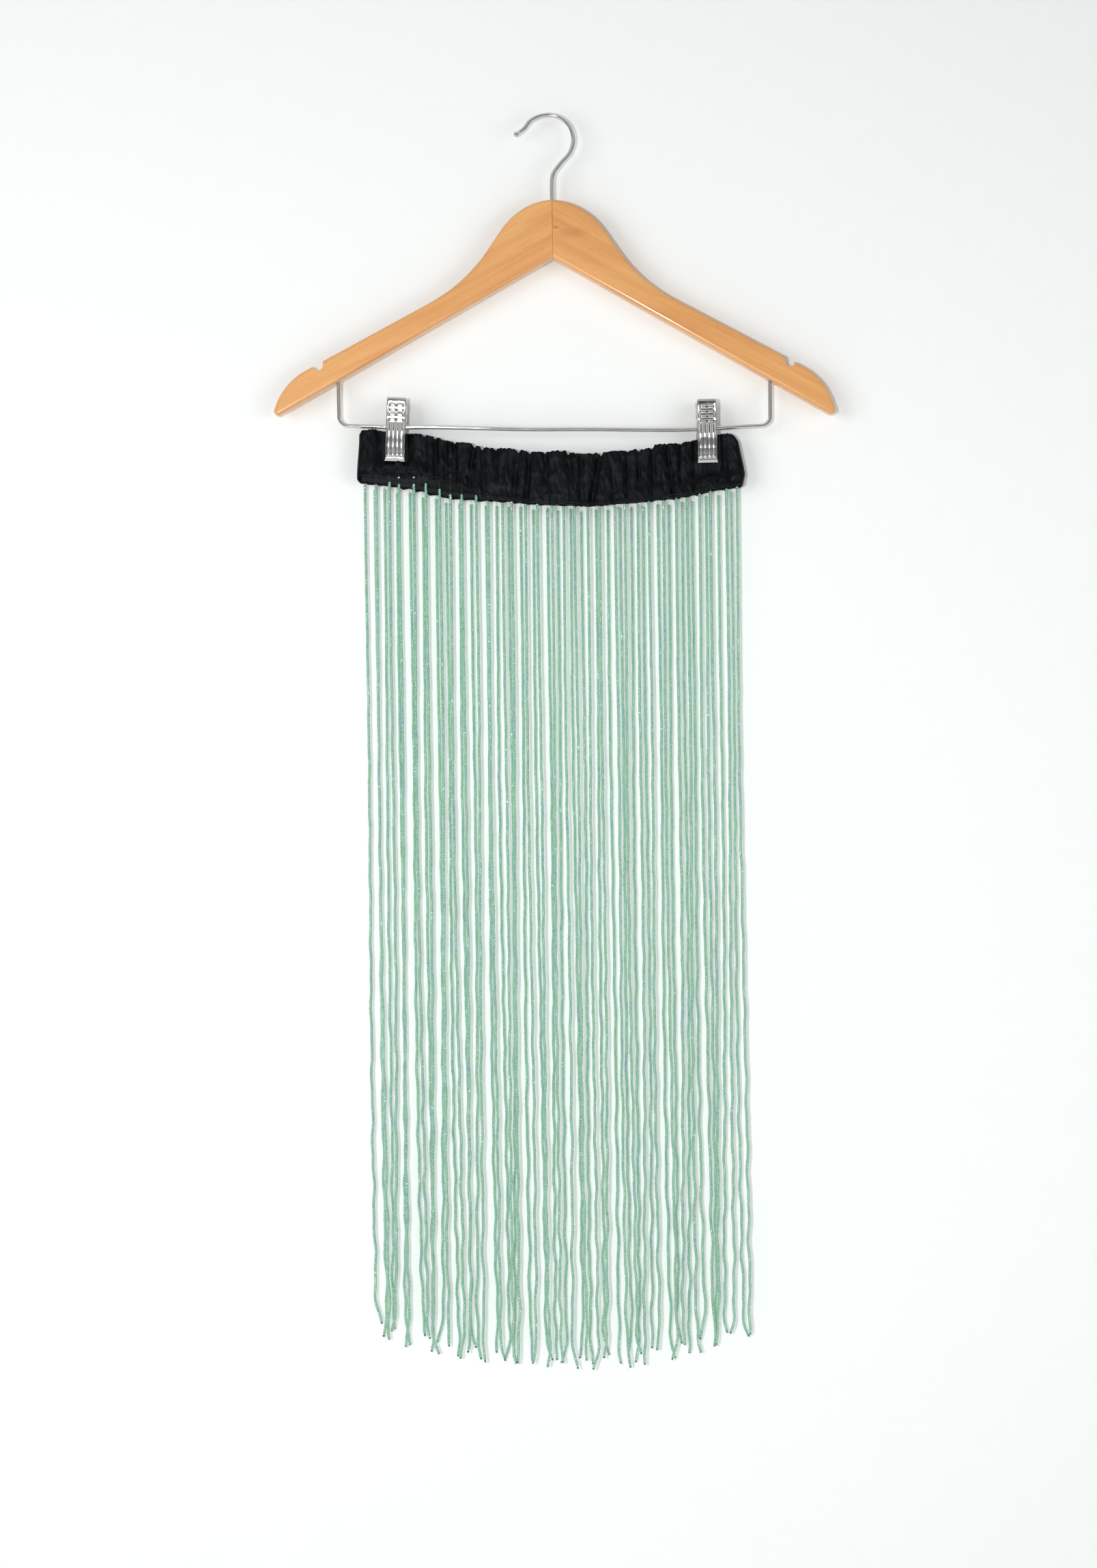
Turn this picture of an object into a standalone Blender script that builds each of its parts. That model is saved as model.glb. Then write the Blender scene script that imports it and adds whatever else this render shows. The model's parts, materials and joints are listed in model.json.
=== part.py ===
"""A fringe belt that hangs flat from a wooden clip hanger.

Lengths are in metres, +Z is up and the front of the belt faces -Y.
The origin is where the hook hangs: the inside of its top bend, over the middle of the hanger.
The belt is a gathered tube of cloth, flattened by two clips, with a fringe along its hem.
"""

import math
from collections import namedtuple

import bmesh
import bpy
from mathutils import Vector

MM = 0.001
SEAM = 0.3 * MM
CRISP = math.radians(40.0)
SOFT = math.radians(60.0)

# Wooden arms: an outline for each, with x from the middle outwards, as the right arm droops a little more
ARM_THICKNESS = 13.0 * MM
ARM_EDGE_ROUND = 2.6 * MM
ARM_EDGE_STEPS = 2
ARM_TURN_STEP = math.radians(9.0)
Corner = namedtuple("Corner", "x z radius")
HEAD_CORNERS = (
    Corner(0.0, -66.4, 0.0),
    Corner(14.5, -67.2, 48.0),
    Corner(35.0, -81.5, 58.0),
)
Arm = namedtuple("Arm", "name side corners notch_floor")
ARMS = (
    Arm("arm_left", -1.0, HEAD_CORNERS + (
        Corner(69.6, -131.8, 130.0),
        Corner(213.2, -207.9, 50.0),
        Corner(224.6, -238.0, 3.4),
        Corner(0.0, -112.2, 0.0)), -199.2),
    Arm("arm_right", 1.0, HEAD_CORNERS + (
        Corner(69.4, -131.4, 120.0),
        Corner(213.2, -209.0, 50.0),
        Corner(224.6, -242.0, 3.4),
        Corner(0.0, -112.2, 0.0)), -200.5),
)
NOTCH_X = 186.2 * MM
NOTCH_RADIUS = 3.9 * MM
NOTCH_SIDES = 16
NOTCH_MOUTH = 3.0 * NOTCH_RADIUS
NOTCH_LEAN = math.radians(20.0)

# Bent wires: the hook and the bar
WIRE_SIDES = 10
HOOK_WIRE_RADIUS = 1.7 * MM
HOOK_BALL_RADIUS = 2.3 * MM
HOOK_BALL_STEPS = 6
HOOK_BALL_TIP = 0.97 * math.pi
HOOK_STEPS_PER_BEND = 4
HOOK_NECK_RADIUS = 1.2 * MM
HOOK_STEM_DEPTH = 20.0 * MM
BAR_WIRE_RADIUS = 1.6 * MM
BAR_LEG_X = 170.5 * MM
BAR_LEG_TOP_Z = -201.0 * MM
BAR_BEND_RADIUS = 11.0 * MM
BAR_BEND_STEPS = 6
BAR_SPANS = 16
SOCKET_CLEARANCE = SEAM
SOCKET_MOUTH = 25.0 * MM
Bend = namedtuple("Bend", "x z")
HOOK_BENDS = (
    Bend(-27.6, -13.2),
    Bend(-21.6, -9.0),
    Bend(-16.6, -2.9),
    Bend(-8.6, 1.0),
    Bend(0.0, 1.7),
    Bend(8.6, -1.4),
    Bend(15.2, -8.6),
    Bend(17.4, -18.6),
    Bend(14.2, -28.6),
    Bend(6.4, -37.4),
    Bend(0.9, -45.4),
    Bend(0.0, -54.0),
    Bend(0.0, -66.0),
)
BAR_SAG = (
    Bend(-170.5, -242.2),
    Bend(-113.0, -243.8),
    Bend(0.0, -246.8),
    Bend(98.0, -248.2),
    Bend(170.5, -246.0),
)

# Clips: each has two pressed jaws and a sprung sleeve, all carried by the bar
CLIP_WIDTH = 16.8 * MM
CLIP_SHEET = 1.1 * MM
SPRING_RADIUS = 3.3 * MM
SPRING_SIDES = 14
Clip = namedtuple("Clip", "name x lean")
CLIPS = (
    Clip("clip_left", -125.3, 3.1),
    Clip("clip_right", 120.1, -0.9),
)
JawStation = namedtuple("JawStation", "z stand_off flange")
JAW_STATIONS = (
    JawStation(21.9, 9.6, 0.6),
    JawStation(20.7, 9.8, 1.6),
    JawStation(8.0, 8.6, 3.4),
    JawStation(4.0, 8.2, 5.0),
    JawStation(-4.0, 7.9, 4.6),
    JawStation(-7.2, 7.4, 3.0),
    JawStation(-15.6, 5.8, 1.2),
    JawStation(-25.0, 3.6, 0.3),
    JawStation(-27.6, 4.8, 0.2),
)

# Waistband: stations along the flat belt, for its edges and for how far its two layers part
CLOTH = 1.5 * MM
BAND_LEFT_X = -157.0 * MM
BAND_RIGHT_X = 150.2 * MM
BAND_COLUMNS = 120
BAND_ROWS = 7
HEM_SCALLOP = 1.0 * MM
HEM_SCALLOP_HALF = 4.2 * MM
FOLD_LEAN_LEFT = 2.2 * MM
FOLD_LEAN_RIGHT = 5.8 * MM
FOLD_LEAN_END = 0.75
FOLD_CORNER_RIGHT = 2.8 * MM
FOLD_CORNER_END = 0.15
FOLD_TUCK_RIGHT = 1.6 * MM
FOLD_REACH = 20.0 * MM
FOLD_WALL = 1.2 * MM
FOLD_WALL_REACH = 8.0 * MM
FULLNESS = 1.3 * MM
FULLNESS_REACH = 5.0 * MM
GATHER_FADE = 0.12
BandStation = namedtuple("BandStation", "x top front_hem back_hem part_top part_hem")
BAND_STATIONS = (
    BandStation(-157.0, -248.8, -283.4, -286.4, 0.2, 0.2),
    BandStation(-154.6, -246.2, -283.2, -287.4, 1.8, 3.1),
    BandStation(-142.0, -245.2, -282.4, -289.2, 1.8, 3.1),
    BandStation(-136.4, -246.8, -282.2, -290.0, 0.2, 3.1),
    BandStation(-116.6, -249.2, -282.4, -293.0, 0.2, 3.1),
    BandStation(-109.0, -249.4, -282.8, -294.8, 2.6, 3.6),
    BandStation(-97.0, -251.6, -286.2, -297.8, 3.8, 4.4),
    BandStation(-84.0, -256.0, -290.4, -300.4, 4.8, 5.2),
    BandStation(-70.0, -257.4, -294.8, -301.6, 5.8, 6.0),
    BandStation(-56.0, -261.6, -302.0, -302.8, 6.6, 6.6),
    BandStation(-42.0, -262.4, -304.0, -303.8, 7.4, 7.2),
    BandStation(-14.0, -265.6, -306.2, -305.8, 8.2, 8.0),
    BandStation(6.0, -265.2, -308.0, -306.8, 8.2, 8.0),
    BandStation(20.0, -267.6, -309.4, -307.6, 7.9, 7.8),
    BandStation(34.0, -267.2, -309.4, -307.6, 7.4, 7.4),
    BandStation(48.0, -265.4, -307.6, -306.2, 6.6, 6.8),
    BandStation(70.0, -264.2, -306.0, -305.2, 5.3, 5.9),
    BandStation(82.0, -260.4, -303.6, -304.0, 4.5, 5.2),
    BandStation(94.0, -259.8, -303.0, -303.6, 3.4, 4.4),
    BandStation(104.6, -258.4, -301.4, -302.0, 1.6, 3.4),
    BandStation(110.6, -256.4, -299.4, -300.4, 0.2, 3.1),
    BandStation(129.4, -252.8, -295.6, -296.6, 0.2, 3.1),
    BandStation(136.0, -251.8, -295.0, -296.0, 1.8, 3.1),
    BandStation(147.8, -252.6, -293.6, -294.6, 1.8, 3.1),
    BandStation(150.2, -254.0, -293.0, -293.6, 0.2, 0.2),
)
# The clips hold the two layers together down to PINCH_END, as a share of the band's depth,
# and the layers have parted for the tapes at PARTED
PINCH_END = 0.68
PARTED = 0.82
PRESSED_MARGIN = 1.4 * MM
PRESSED_FADE = 3.0 * MM
PRESSED_DEPTH = 24.0 * MM
PRESSED_FLAT = 0.9
Gather = namedtuple("Gather", "x lean depth width start end")
FRONT_GATHERS = (
    Gather(-139.6, 1.0, 0.9, 3.4, 0.0, 1.0),
    Gather(-103.1, 0.0, 1.0, 2.2, 0.0, 1.0),
    Gather(-94.2, 0.4, 1.3, 2.0, 0.0, 1.0),
    Gather(-86.1, 0.6, 1.2, 1.8, 0.1, 1.0),
    Gather(-79.1, 0.0, 1.1, 1.9, 0.0, 0.9),
    Gather(-66.1, -5.0, 1.4, 2.0, 0.0, 1.0),
    Gather(-57.0, 0.6, 1.0, 1.9, 0.0, 1.0),
    Gather(-46.7, 0.0, 1.1, 2.2, 0.0, 0.6),
    Gather(-31.3, -4.6, 1.4, 2.2, 0.0, 1.0),
    Gather(-21.6, -3.2, 1.2, 2.0, 0.0, 0.95),
    Gather(-7.8, 0.4, 1.2, 2.4, 0.0, 0.55),
    Gather(11.6, 2.4, 1.3, 3.2, 0.0, 0.5),
    Gather(20.8, 0.2, 1.1, 2.0, 0.1, 1.0),
    Gather(31.9, -8.0, 1.4, 2.4, 0.0, 1.0),
    Gather(45.0, 3.0, 0.8, 3.0, 0.4, 1.0),
    Gather(57.5, 0.4, 1.3, 1.8, 0.0, 1.0),
    Gather(66.1, 0.8, 0.9, 1.8, 0.0, 0.5),
    Gather(76.9, 1.0, 1.2, 2.0, 0.0, 1.0),
    Gather(90.7, 5.6, 1.4, 2.2, 0.15, 1.0),
    Gather(99.1, 0.0, 1.0, 1.9, 0.0, 0.8),
    Gather(110.4, 0.8, 0.9, 2.0, 0.0, 1.0),
    Gather(129.9, -1.2, 1.1, 2.4, 0.3, 1.0),
    Gather(137.0, 4.0, 0.9, 2.6, 0.0, 1.0),
)
BACK_GATHERS = (
    Gather(-143.0, 0.8, 0.9, 2.6, 0.0, 1.0),
    Gather(-112.0, -1.2, 1.1, 2.2, 0.1, 1.0),
    Gather(-99.0, 2.6, 1.3, 2.4, 0.0, 1.0),
    Gather(-85.0, -0.6, 1.0, 1.9, 0.0, 0.7),
    Gather(-73.5, 3.4, 1.4, 2.2, 0.0, 1.0),
    Gather(-61.0, 0.4, 1.2, 2.0, 0.2, 1.0),
    Gather(-50.0, -2.4, 1.3, 2.1, 0.0, 1.0),
    Gather(-36.0, 1.0, 1.0, 2.6, 0.0, 0.6),
    Gather(-25.0, 4.6, 1.4, 2.1, 0.0, 1.0),
    Gather(-12.0, -0.8, 1.1, 1.9, 0.1, 1.0),
    Gather(3.0, -3.6, 1.4, 2.4, 0.0, 1.0),
    Gather(15.0, 0.8, 1.0, 2.0, 0.0, 0.55),
    Gather(27.5, 2.0, 1.3, 2.1, 0.0, 1.0),
    Gather(39.0, -1.0, 1.1, 2.4, 0.35, 1.0),
    Gather(51.0, -4.4, 1.4, 2.2, 0.0, 1.0),
    Gather(64.5, 0.6, 1.0, 1.9, 0.0, 1.0),
    Gather(74.0, 1.6, 1.2, 2.0, 0.0, 0.7),
    Gather(87.0, -2.8, 1.4, 2.3, 0.0, 1.0),
    Gather(101.0, 0.6, 1.0, 2.0, 0.1, 1.0),
    Gather(131.0, 1.4, 1.0, 2.2, 0.0, 1.0),
)

# Fringe: a tape inside each hem, and strands that hang from it
TAPE_HEIGHT = 3.0 * MM
TAPE_THICKNESS = 2.0 * MM
TAPE_ABOVE_HEM = 2.4 * MM
TAPE_CLEARANCE = 0.45 * MM
TAPE_LEFT_INSET = 3.8 * MM
TAPE_RIGHT_INSET = 5.2 * MM
STRAND_WIDTH = 1.7 * MM
STRAND_STEPS = 8
STRAND_RAGGED = 6.0 * MM
STRAND_DRIFT = 2.6 * MM
STRAND_SWAY = 0.7 * MM
STRAND_SPREAD = 0.5 * MM
FRINGE_END_Z = -961.0 * MM
FRINGE_END_SAG = 27.0 * MM
FRINGE_END_MIDDLE_X = 5.0 * MM
FRINGE_END_HALF = 150.0 * MM
FringeRow = namedtuple("FringeRow", "name count first last jitter phase")
FRINGE_FRONT = FringeRow("fringe_front", 31, -151.6, 143.4, 1.7, 0.6)
FRINGE_BACK = FringeRow("fringe_back", 30, -144.4, 138.4, 1.5, 2.1)


def ease(t):
    """Smooth step from 0 to 1."""
    t = min(max(t, 0.0), 1.0)
    return t * t * (3.0 - 2.0 * t)


def spline(points, share):
    """Point on a smooth curve through the points, share running from 0 to 1 along them."""
    position = min(max(share, 0.0), 1.0) * (len(points) - 1)
    index = min(int(position), len(points) - 2)
    t = position - index
    before = points[max(index - 1, 0)]
    start = points[index]
    end = points[index + 1]
    after = points[min(index + 2, len(points) - 1)]
    leaving = (end - before) * 0.5
    arriving = (after - start) * 0.5
    return (start * (2 * t**3 - 3 * t**2 + 1) + leaving * (t**3 - 2 * t**2 + t)
            + end * (3 * t**2 - 2 * t**3) + arriving * (t**3 - t**2))


def along(stations, column, x):
    """Value of one column of a table at x, both in metres, eased between its rows."""
    x_mm = x / MM
    if x_mm <= stations[0].x:
        return getattr(stations[0], column) * MM
    for low, high in zip(stations, stations[1:]):
        if x_mm <= high.x:
            share = (x_mm - low.x) / (high.x - low.x)
            start = getattr(low, column)
            return (start + (getattr(high, column) - start) * ease(share)) * MM
    return getattr(stations[-1], column) * MM


def material(name, colour, roughness, metallic=0.0):
    """A Principled BSDF material of one colour."""
    made = bpy.data.materials.new(name)
    made.use_nodes = True
    shader = made.node_tree.nodes["Principled BSDF"]
    shader.inputs["Base Color"].default_value = (*colour, 1.0)
    shader.inputs["Roughness"].default_value = roughness
    shader.inputs["Metallic"].default_value = metallic
    return made


def add_object(name, mesh_builder, surface, smooth_angle=None):
    """Turn a bmesh into an object of the scene, with its faces pointing out."""
    bmesh.ops.recalc_face_normals(mesh_builder, faces=mesh_builder.faces)
    mesh = bpy.data.meshes.new(name)
    mesh_builder.to_mesh(mesh)
    mesh_builder.free()
    mesh.materials.append(surface)
    if smooth_angle is not None:
        mesh.shade_smooth()
        mesh.set_sharp_from_angle(angle=smooth_angle)
    made = bpy.data.objects.new(name, mesh)
    bpy.context.scene.collection.objects.link(made)
    return made


def filleted(corners):
    """Outline through the corners, each rounded by its radius, as (x, z) points in metres."""
    outline = []
    for index, corner in enumerate(corners):
        here = Vector((corner.x, corner.z)) * MM
        if corner.radius == 0.0:
            outline.append(here)
            continue
        before = corners[index - 1]
        after = corners[(index + 1) % len(corners)]
        back = (Vector((before.x, before.z)) * MM - here).normalized()
        ahead = (Vector((after.x, after.z)) * MM - here).normalized()
        half = back.angle(ahead) / 2.0
        radius = corner.radius * MM
        middle = here + (back + ahead).normalized() * (radius / math.sin(half))
        start = here + back * (radius / math.tan(half)) - middle
        turn = math.pi - 2.0 * half
        side = 1.0 if back.x * ahead.y - back.y * ahead.x > 0.0 else -1.0
        steps = max(2, round(turn / ARM_TURN_STEP))
        for step in range(steps + 1):
            angle = side * turn * step / steps
            outline.append(middle + Vector((
                start.x * math.cos(angle) + start.y * math.sin(angle),
                start.y * math.cos(angle) - start.x * math.sin(angle))))
    return outline


def add_cutter(name, builder):
    """An object that only cuts others, left out of the build."""
    cutter = add_object(name, builder, bpy.data.materials["cutter"])
    cutter.hide_render = True
    cutter.display_type = "WIRE"
    return cutter


def socket_cutter(name, mouth, end, wire_radius):
    """A round socket for a wire, from outside the wood down to its end."""
    builder = bmesh.new()
    radius = wire_radius + SOCKET_CLEARANCE
    tube(builder, [mouth, end], [radius, radius], WIRE_SIDES)
    return add_cutter(name, builder)


def cut(body, cutter):
    """Take a cutter's shape out of a body."""
    difference = body.modifiers.new(cutter.name, "BOOLEAN")
    difference.operation = "DIFFERENCE"
    difference.object = cutter


def tube(builder, route, radii, sides):
    """A round tube along a route, with its own radius at each point and closed ends."""
    rings = []
    across = Vector((0.0, 1.0, 0.0))
    for index, (point, radius) in enumerate(zip(route, radii)):
        ahead = route[min(index + 1, len(route) - 1)] - route[max(index - 1, 0)]
        ahead.normalize()
        if abs(ahead.dot(across)) > 0.9:
            across = Vector((1.0, 0.0, 0.0))
        across = (across - ahead * across.dot(ahead)).normalized()
        up = ahead.cross(across)
        rings.append([builder.verts.new(
            point + (across * math.cos(angle) + up * math.sin(angle)) * radius)
            for angle in (2.0 * math.pi * side / sides for side in range(sides))])
    for low, high in zip(rings, rings[1:]):
        for side in range(sides):
            following = (side + 1) % sides
            builder.faces.new((low[side], low[following], high[following], high[side]))
    builder.faces.new(reversed(rings[0]))
    builder.faces.new(rings[-1])


def make_arm(arm, wood):
    """One wooden arm with rounded edges, its shoulder notch, and the sockets for both wires."""
    side = arm.side
    outline = []
    for point in filleted(arm.corners):
        point.x = max(point.x, SEAM / 2.0)
        if not outline or (point - outline[-1]).length > SEAM:
            outline.append(point)
    builder = bmesh.new()
    front = [builder.verts.new((side * p.x, -ARM_THICKNESS / 2.0, p.y)) for p in outline]
    face = builder.faces.new(front)
    grown = bmesh.ops.extrude_face_region(builder, geom=[face], use_keep_orig=True)
    moved = [item for item in grown["geom"] if isinstance(item, bmesh.types.BMVert)]
    bmesh.ops.translate(builder, verts=moved, vec=(0.0, ARM_THICKNESS, 0.0))
    bmesh.ops.recalc_face_normals(builder, faces=builder.faces)
    rounded = [edge for edge in builder.edges
               if abs(edge.verts[0].co.y - edge.verts[1].co.y) < SEAM
               and max(abs(v.co.x) for v in edge.verts) > SEAM]
    bmesh.ops.bevel(builder, geom=rounded, offset=ARM_EDGE_ROUND, segments=ARM_EDGE_STEPS,
                    profile=0.5, affect="EDGES")
    body = add_object(arm.name, builder, wood, CRISP)
    cut(body, notch_cutter(arm))
    stem_end = Vector((0.0, 0.0, HEAD_CORNERS[0].z * MM - HOOK_STEM_DEPTH - SOCKET_CLEARANCE))
    stem_mouth = stem_end + Vector((0.0, 0.0, HOOK_STEM_DEPTH + SOCKET_MOUTH))
    cut(body, socket_cutter(arm.name + "_stem_socket", stem_mouth, stem_end, HOOK_WIRE_RADIUS))
    leg_end = Vector((side * BAR_LEG_X, 0.0, BAR_LEG_TOP_Z + SOCKET_CLEARANCE))
    leg_mouth = leg_end - Vector((0.0, 0.0, SOCKET_MOUTH))
    cut(body, socket_cutter(arm.name + "_leg_socket", leg_mouth, leg_end, BAR_WIRE_RADIUS))


def notch_cutter(arm):
    """A slot with a round floor, cut through the arm's shoulder."""
    depth = ARM_THICKNESS
    middle_z = arm.notch_floor * MM + NOTCH_RADIUS
    angles = [math.pi + math.pi * step / NOTCH_SIDES for step in range(NOTCH_SIDES + 1)]
    outline = [Vector((math.cos(angle), math.sin(angle))) * NOTCH_RADIUS for angle in angles]
    outline.append(Vector((NOTCH_RADIUS + NOTCH_MOUTH * math.tan(NOTCH_LEAN), NOTCH_MOUTH)))
    outline.append(Vector((-NOTCH_RADIUS, NOTCH_MOUTH)))
    builder = bmesh.new()
    face = builder.faces.new([builder.verts.new((arm.side * (NOTCH_X + p.x), -depth, middle_z + p.y))
                              for p in outline])
    grown = bmesh.ops.extrude_face_region(builder, geom=[face], use_keep_orig=True)
    moved = [item for item in grown["geom"] if isinstance(item, bmesh.types.BMVert)]
    bmesh.ops.translate(builder, verts=moved, vec=(0.0, 2.0 * depth, 0.0))
    return add_cutter(arm.name + "_notch", builder)


def make_hook(chrome):
    """The bent wire hook with a ball at its tip, its stem down in the wood."""
    points = [Vector((bend.x, 0.0, bend.z)) * MM for bend in HOOK_BENDS]
    steps = HOOK_STEPS_PER_BEND * (len(points) - 1)
    wire = [spline(points, step / steps) for step in range(steps + 1)]
    outward = (wire[0] - wire[1]).normalized()
    neck = math.asin(HOOK_NECK_RADIUS / HOOK_BALL_RADIUS)
    turns = [HOOK_BALL_TIP + (neck - HOOK_BALL_TIP) * step / HOOK_BALL_STEPS
             for step in range(HOOK_BALL_STEPS + 1)]
    ball = [wire[0] - outward * HOOK_BALL_RADIUS * math.cos(turn) for turn in turns]
    ball_radii = [HOOK_BALL_RADIUS * math.sin(turn) for turn in turns]
    stem = Vector((0.0, 0.0, HEAD_CORNERS[0].z * MM - HOOK_STEM_DEPTH))
    route = ball + wire[2:] + [stem]
    radii = ball_radii + [HOOK_WIRE_RADIUS] * (len(wire) - 1)
    builder = bmesh.new()
    tube(builder, route, radii, WIRE_SIDES)
    add_object("hook", builder, chrome, SOFT)


def bar_z(x):
    """Height of the bar's long stretch at x."""
    return along(BAR_SAG, "z", x)


def make_bar(chrome):
    """The bent wire between the arms: two legs and a long stretch that sags a little."""
    route = []
    for side in (-1.0, 1.0):
        leg = []
        foot_z = bar_z(side * BAR_LEG_X)
        leg.append(Vector((side * BAR_LEG_X, 0.0, BAR_LEG_TOP_Z)))
        for step in range(BAR_BEND_STEPS + 1):
            angle = math.pi / 2.0 * step / BAR_BEND_STEPS
            leg.append(Vector((
                side * (BAR_LEG_X - BAR_BEND_RADIUS * (1.0 - math.cos(angle))), 0.0,
                foot_z + BAR_BEND_RADIUS * (1.0 - math.sin(angle)))))
        if side < 0.0:
            route += leg
            inner = BAR_LEG_X - BAR_BEND_RADIUS
            for step in range(1, BAR_SPANS):
                x = -inner + 2.0 * inner * step / BAR_SPANS
                route.append(Vector((x, 0.0, bar_z(x))))
        else:
            route += reversed(leg)
    builder = bmesh.new()
    tube(builder, route, [BAR_WIRE_RADIUS] * len(route), WIRE_SIDES)
    add_object("bar", builder, chrome, SOFT)


def make_jaw(clip, facing, chrome):
    """A pressed jaw: a sheet with two side flanges, leaning in to the cloth below the bar."""
    half = CLIP_WIDTH / 2.0
    inner = half - CLIP_SHEET
    rings = []
    builder = bmesh.new()
    for station in JAW_STATIONS:
        face = facing * station.stand_off * MM
        back = face - facing * CLIP_SHEET
        ends = back - facing * station.flange * MM
        section = ((-half, face), (half, face), (half, ends), (inner, ends),
                   (inner, back), (-inner, back), (-inner, ends), (-half, ends))
        rings.append([builder.verts.new((x, y, station.z * MM)) for x, y in section])
    for low, high in zip(rings, rings[1:]):
        for index in range(len(low)):
            following = (index + 1) % len(low)
            builder.faces.new((low[index], low[following], high[following], high[index]))
    builder.faces.new(reversed(rings[0]))
    builder.faces.new(rings[-1])
    jaw = add_object(clip.name + ("_front" if facing < 0.0 else "_back"), builder, chrome)
    place_on_bar(jaw, clip)


def make_spring(clip, chrome):
    """The sprung sleeve round the bar that presses the jaws' tips together."""
    half = CLIP_WIDTH / 2.0 - CLIP_SHEET - SEAM
    bore = BAR_WIRE_RADIUS + SEAM
    builder = bmesh.new()
    rings = []
    for x, radius in ((-half, bore), (-half, SPRING_RADIUS), (half, SPRING_RADIUS), (half, bore)):
        rings.append([builder.verts.new((x, radius * math.cos(angle), radius * math.sin(angle)))
                      for angle in (2.0 * math.pi * side / SPRING_SIDES
                                    for side in range(SPRING_SIDES))])
    for index, low in enumerate(rings):
        high = rings[(index + 1) % len(rings)]
        for side in range(SPRING_SIDES):
            following = (side + 1) % SPRING_SIDES
            builder.faces.new((low[side], low[following], high[following], high[side]))
    spring = add_object(clip.name + "_spring", builder, chrome, CRISP)
    place_on_bar(spring, clip)
    reach = CLIP_WIDTH / 2.0
    x = clip.x * MM
    slope = (bar_z(x + reach) - bar_z(x - reach)) / (2.0 * reach)
    spring.rotation_euler = (0.0, -math.atan(slope), 0.0)


def place_on_bar(piece, clip):
    """Put a piece of a clip on the bar, leaning as the clip leans."""
    piece.location = (clip.x * MM, 0.0, bar_z(clip.x * MM))
    piece.rotation_euler = (0.0, math.radians(clip.lean), 0.0)


def fold_shift(x, depth_share, outer):
    """How far a point near a side fold moves in: the folds lean, and the cloth keeps its thickness."""
    lean_left = FOLD_LEAN_LEFT * (1.0 - ease(depth_share))
    lean_right = FOLD_LEAN_RIGHT * max(0.0, 1.0 - depth_share / FOLD_LEAN_END)
    lean_right += FOLD_CORNER_RIGHT * max(0.0, 1.0 - depth_share / FOLD_CORNER_END) ** 2
    lean_right += FOLD_TUCK_RIGHT * ease(4.0 * depth_share - 3.0)
    near_left = 1.0 - ease((x - BAND_LEFT_X) / FOLD_REACH)
    near_right = 1.0 - ease((BAND_RIGHT_X - x) / FOLD_REACH)
    shift = lean_left * near_left - lean_right * near_right
    if not outer:
        shift += FOLD_WALL * (1.0 - ease((x - BAND_LEFT_X) / FOLD_WALL_REACH))
        shift -= FOLD_WALL * (1.0 - ease((BAND_RIGHT_X - x) / FOLD_WALL_REACH))
    return shift


def strand_x(row, index):
    """Where a strand hangs from its tape: an even pitch, a little uneven."""
    pitch = (row.last - row.first) / (row.count - 1)
    wander = math.sin(2.4 * index + row.phase) * math.cos(1.1 * index) * row.jitter
    return (row.first + pitch * index + wander) * MM


def hem_z(row, x):
    """Height of the hem at x, without its scallops."""
    column = "front_hem" if row is FRINGE_FRONT else "back_hem"
    return along(BAND_STATIONS, column, x)


def scallop(row, x):
    """How far the hem arches up at x: most over each strand."""
    nearest = min(abs(x - strand_x(row, index)) for index in range(row.count))
    return HEM_SCALLOP * max(0.0, 1.0 - (nearest / HEM_SCALLOP_HALF) ** 2)


def parting(x, depth_share):
    """Distance of a layer's inner face from the middle of the belt."""
    top = along(BAND_STATIONS, "part_top", x)
    hem = along(BAND_STATIONS, "part_hem", x)
    return top + (hem - top) * ease((depth_share - PINCH_END) / (PARTED - PINCH_END))


def fullness(gathers, x, depth_share):
    """How far the gathered cloth stands out beyond its plain thickness."""
    trough = 0.0
    for gather in gathers:
        middle = gather.x + gather.lean * (depth_share - 0.5)
        begun = ease((depth_share - gather.start) / GATHER_FADE + 1.0)
        left = ease((gather.end - depth_share) / GATHER_FADE + 1.0)
        across = math.exp(-((x / MM - middle) / gather.width) ** 2)
        trough = max(trough, gather.depth * begun * left * across)
    ends = ease((x - BAND_LEFT_X) / FULLNESS_REACH) * ease((BAND_RIGHT_X - x) / FULLNESS_REACH)
    return (FULLNESS - trough * MM) * ends


def clamped(x, depth_share):
    """1 where a clip's tips press the cloth, 0 away from them."""
    pressed = 0.0
    for clip in CLIPS:
        lean = -math.tan(math.radians(clip.lean)) * PRESSED_DEPTH
        off = abs(x - clip.x * MM - lean) - CLIP_WIDTH / 2.0
        pressed = max(pressed, 1.0 - ease((off - PRESSED_MARGIN) / PRESSED_FADE))
    return pressed * (1.0 - ease((depth_share - PINCH_END) / (PARTED - PINCH_END)))


def band_point(row, gathers, facing, column_share, depth_share, outer):
    """A point of one layer of the band, on its plain inner face or its gathered outer face."""
    table_x = BAND_LEFT_X + (BAND_RIGHT_X - BAND_LEFT_X) * column_share
    x = table_x + fold_shift(table_x, depth_share, outer)
    top = along(BAND_STATIONS, "top", table_x)
    hem = hem_z(row, table_x) + scallop(row, x)
    y = parting(table_x, depth_share)
    if outer:
        flattened = 1.0 - PRESSED_FLAT * clamped(table_x, depth_share)
        y += CLOTH + fullness(gathers, table_x, depth_share) * flattened
    return Vector((x, facing * y, top + (hem - top) * depth_share))


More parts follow.
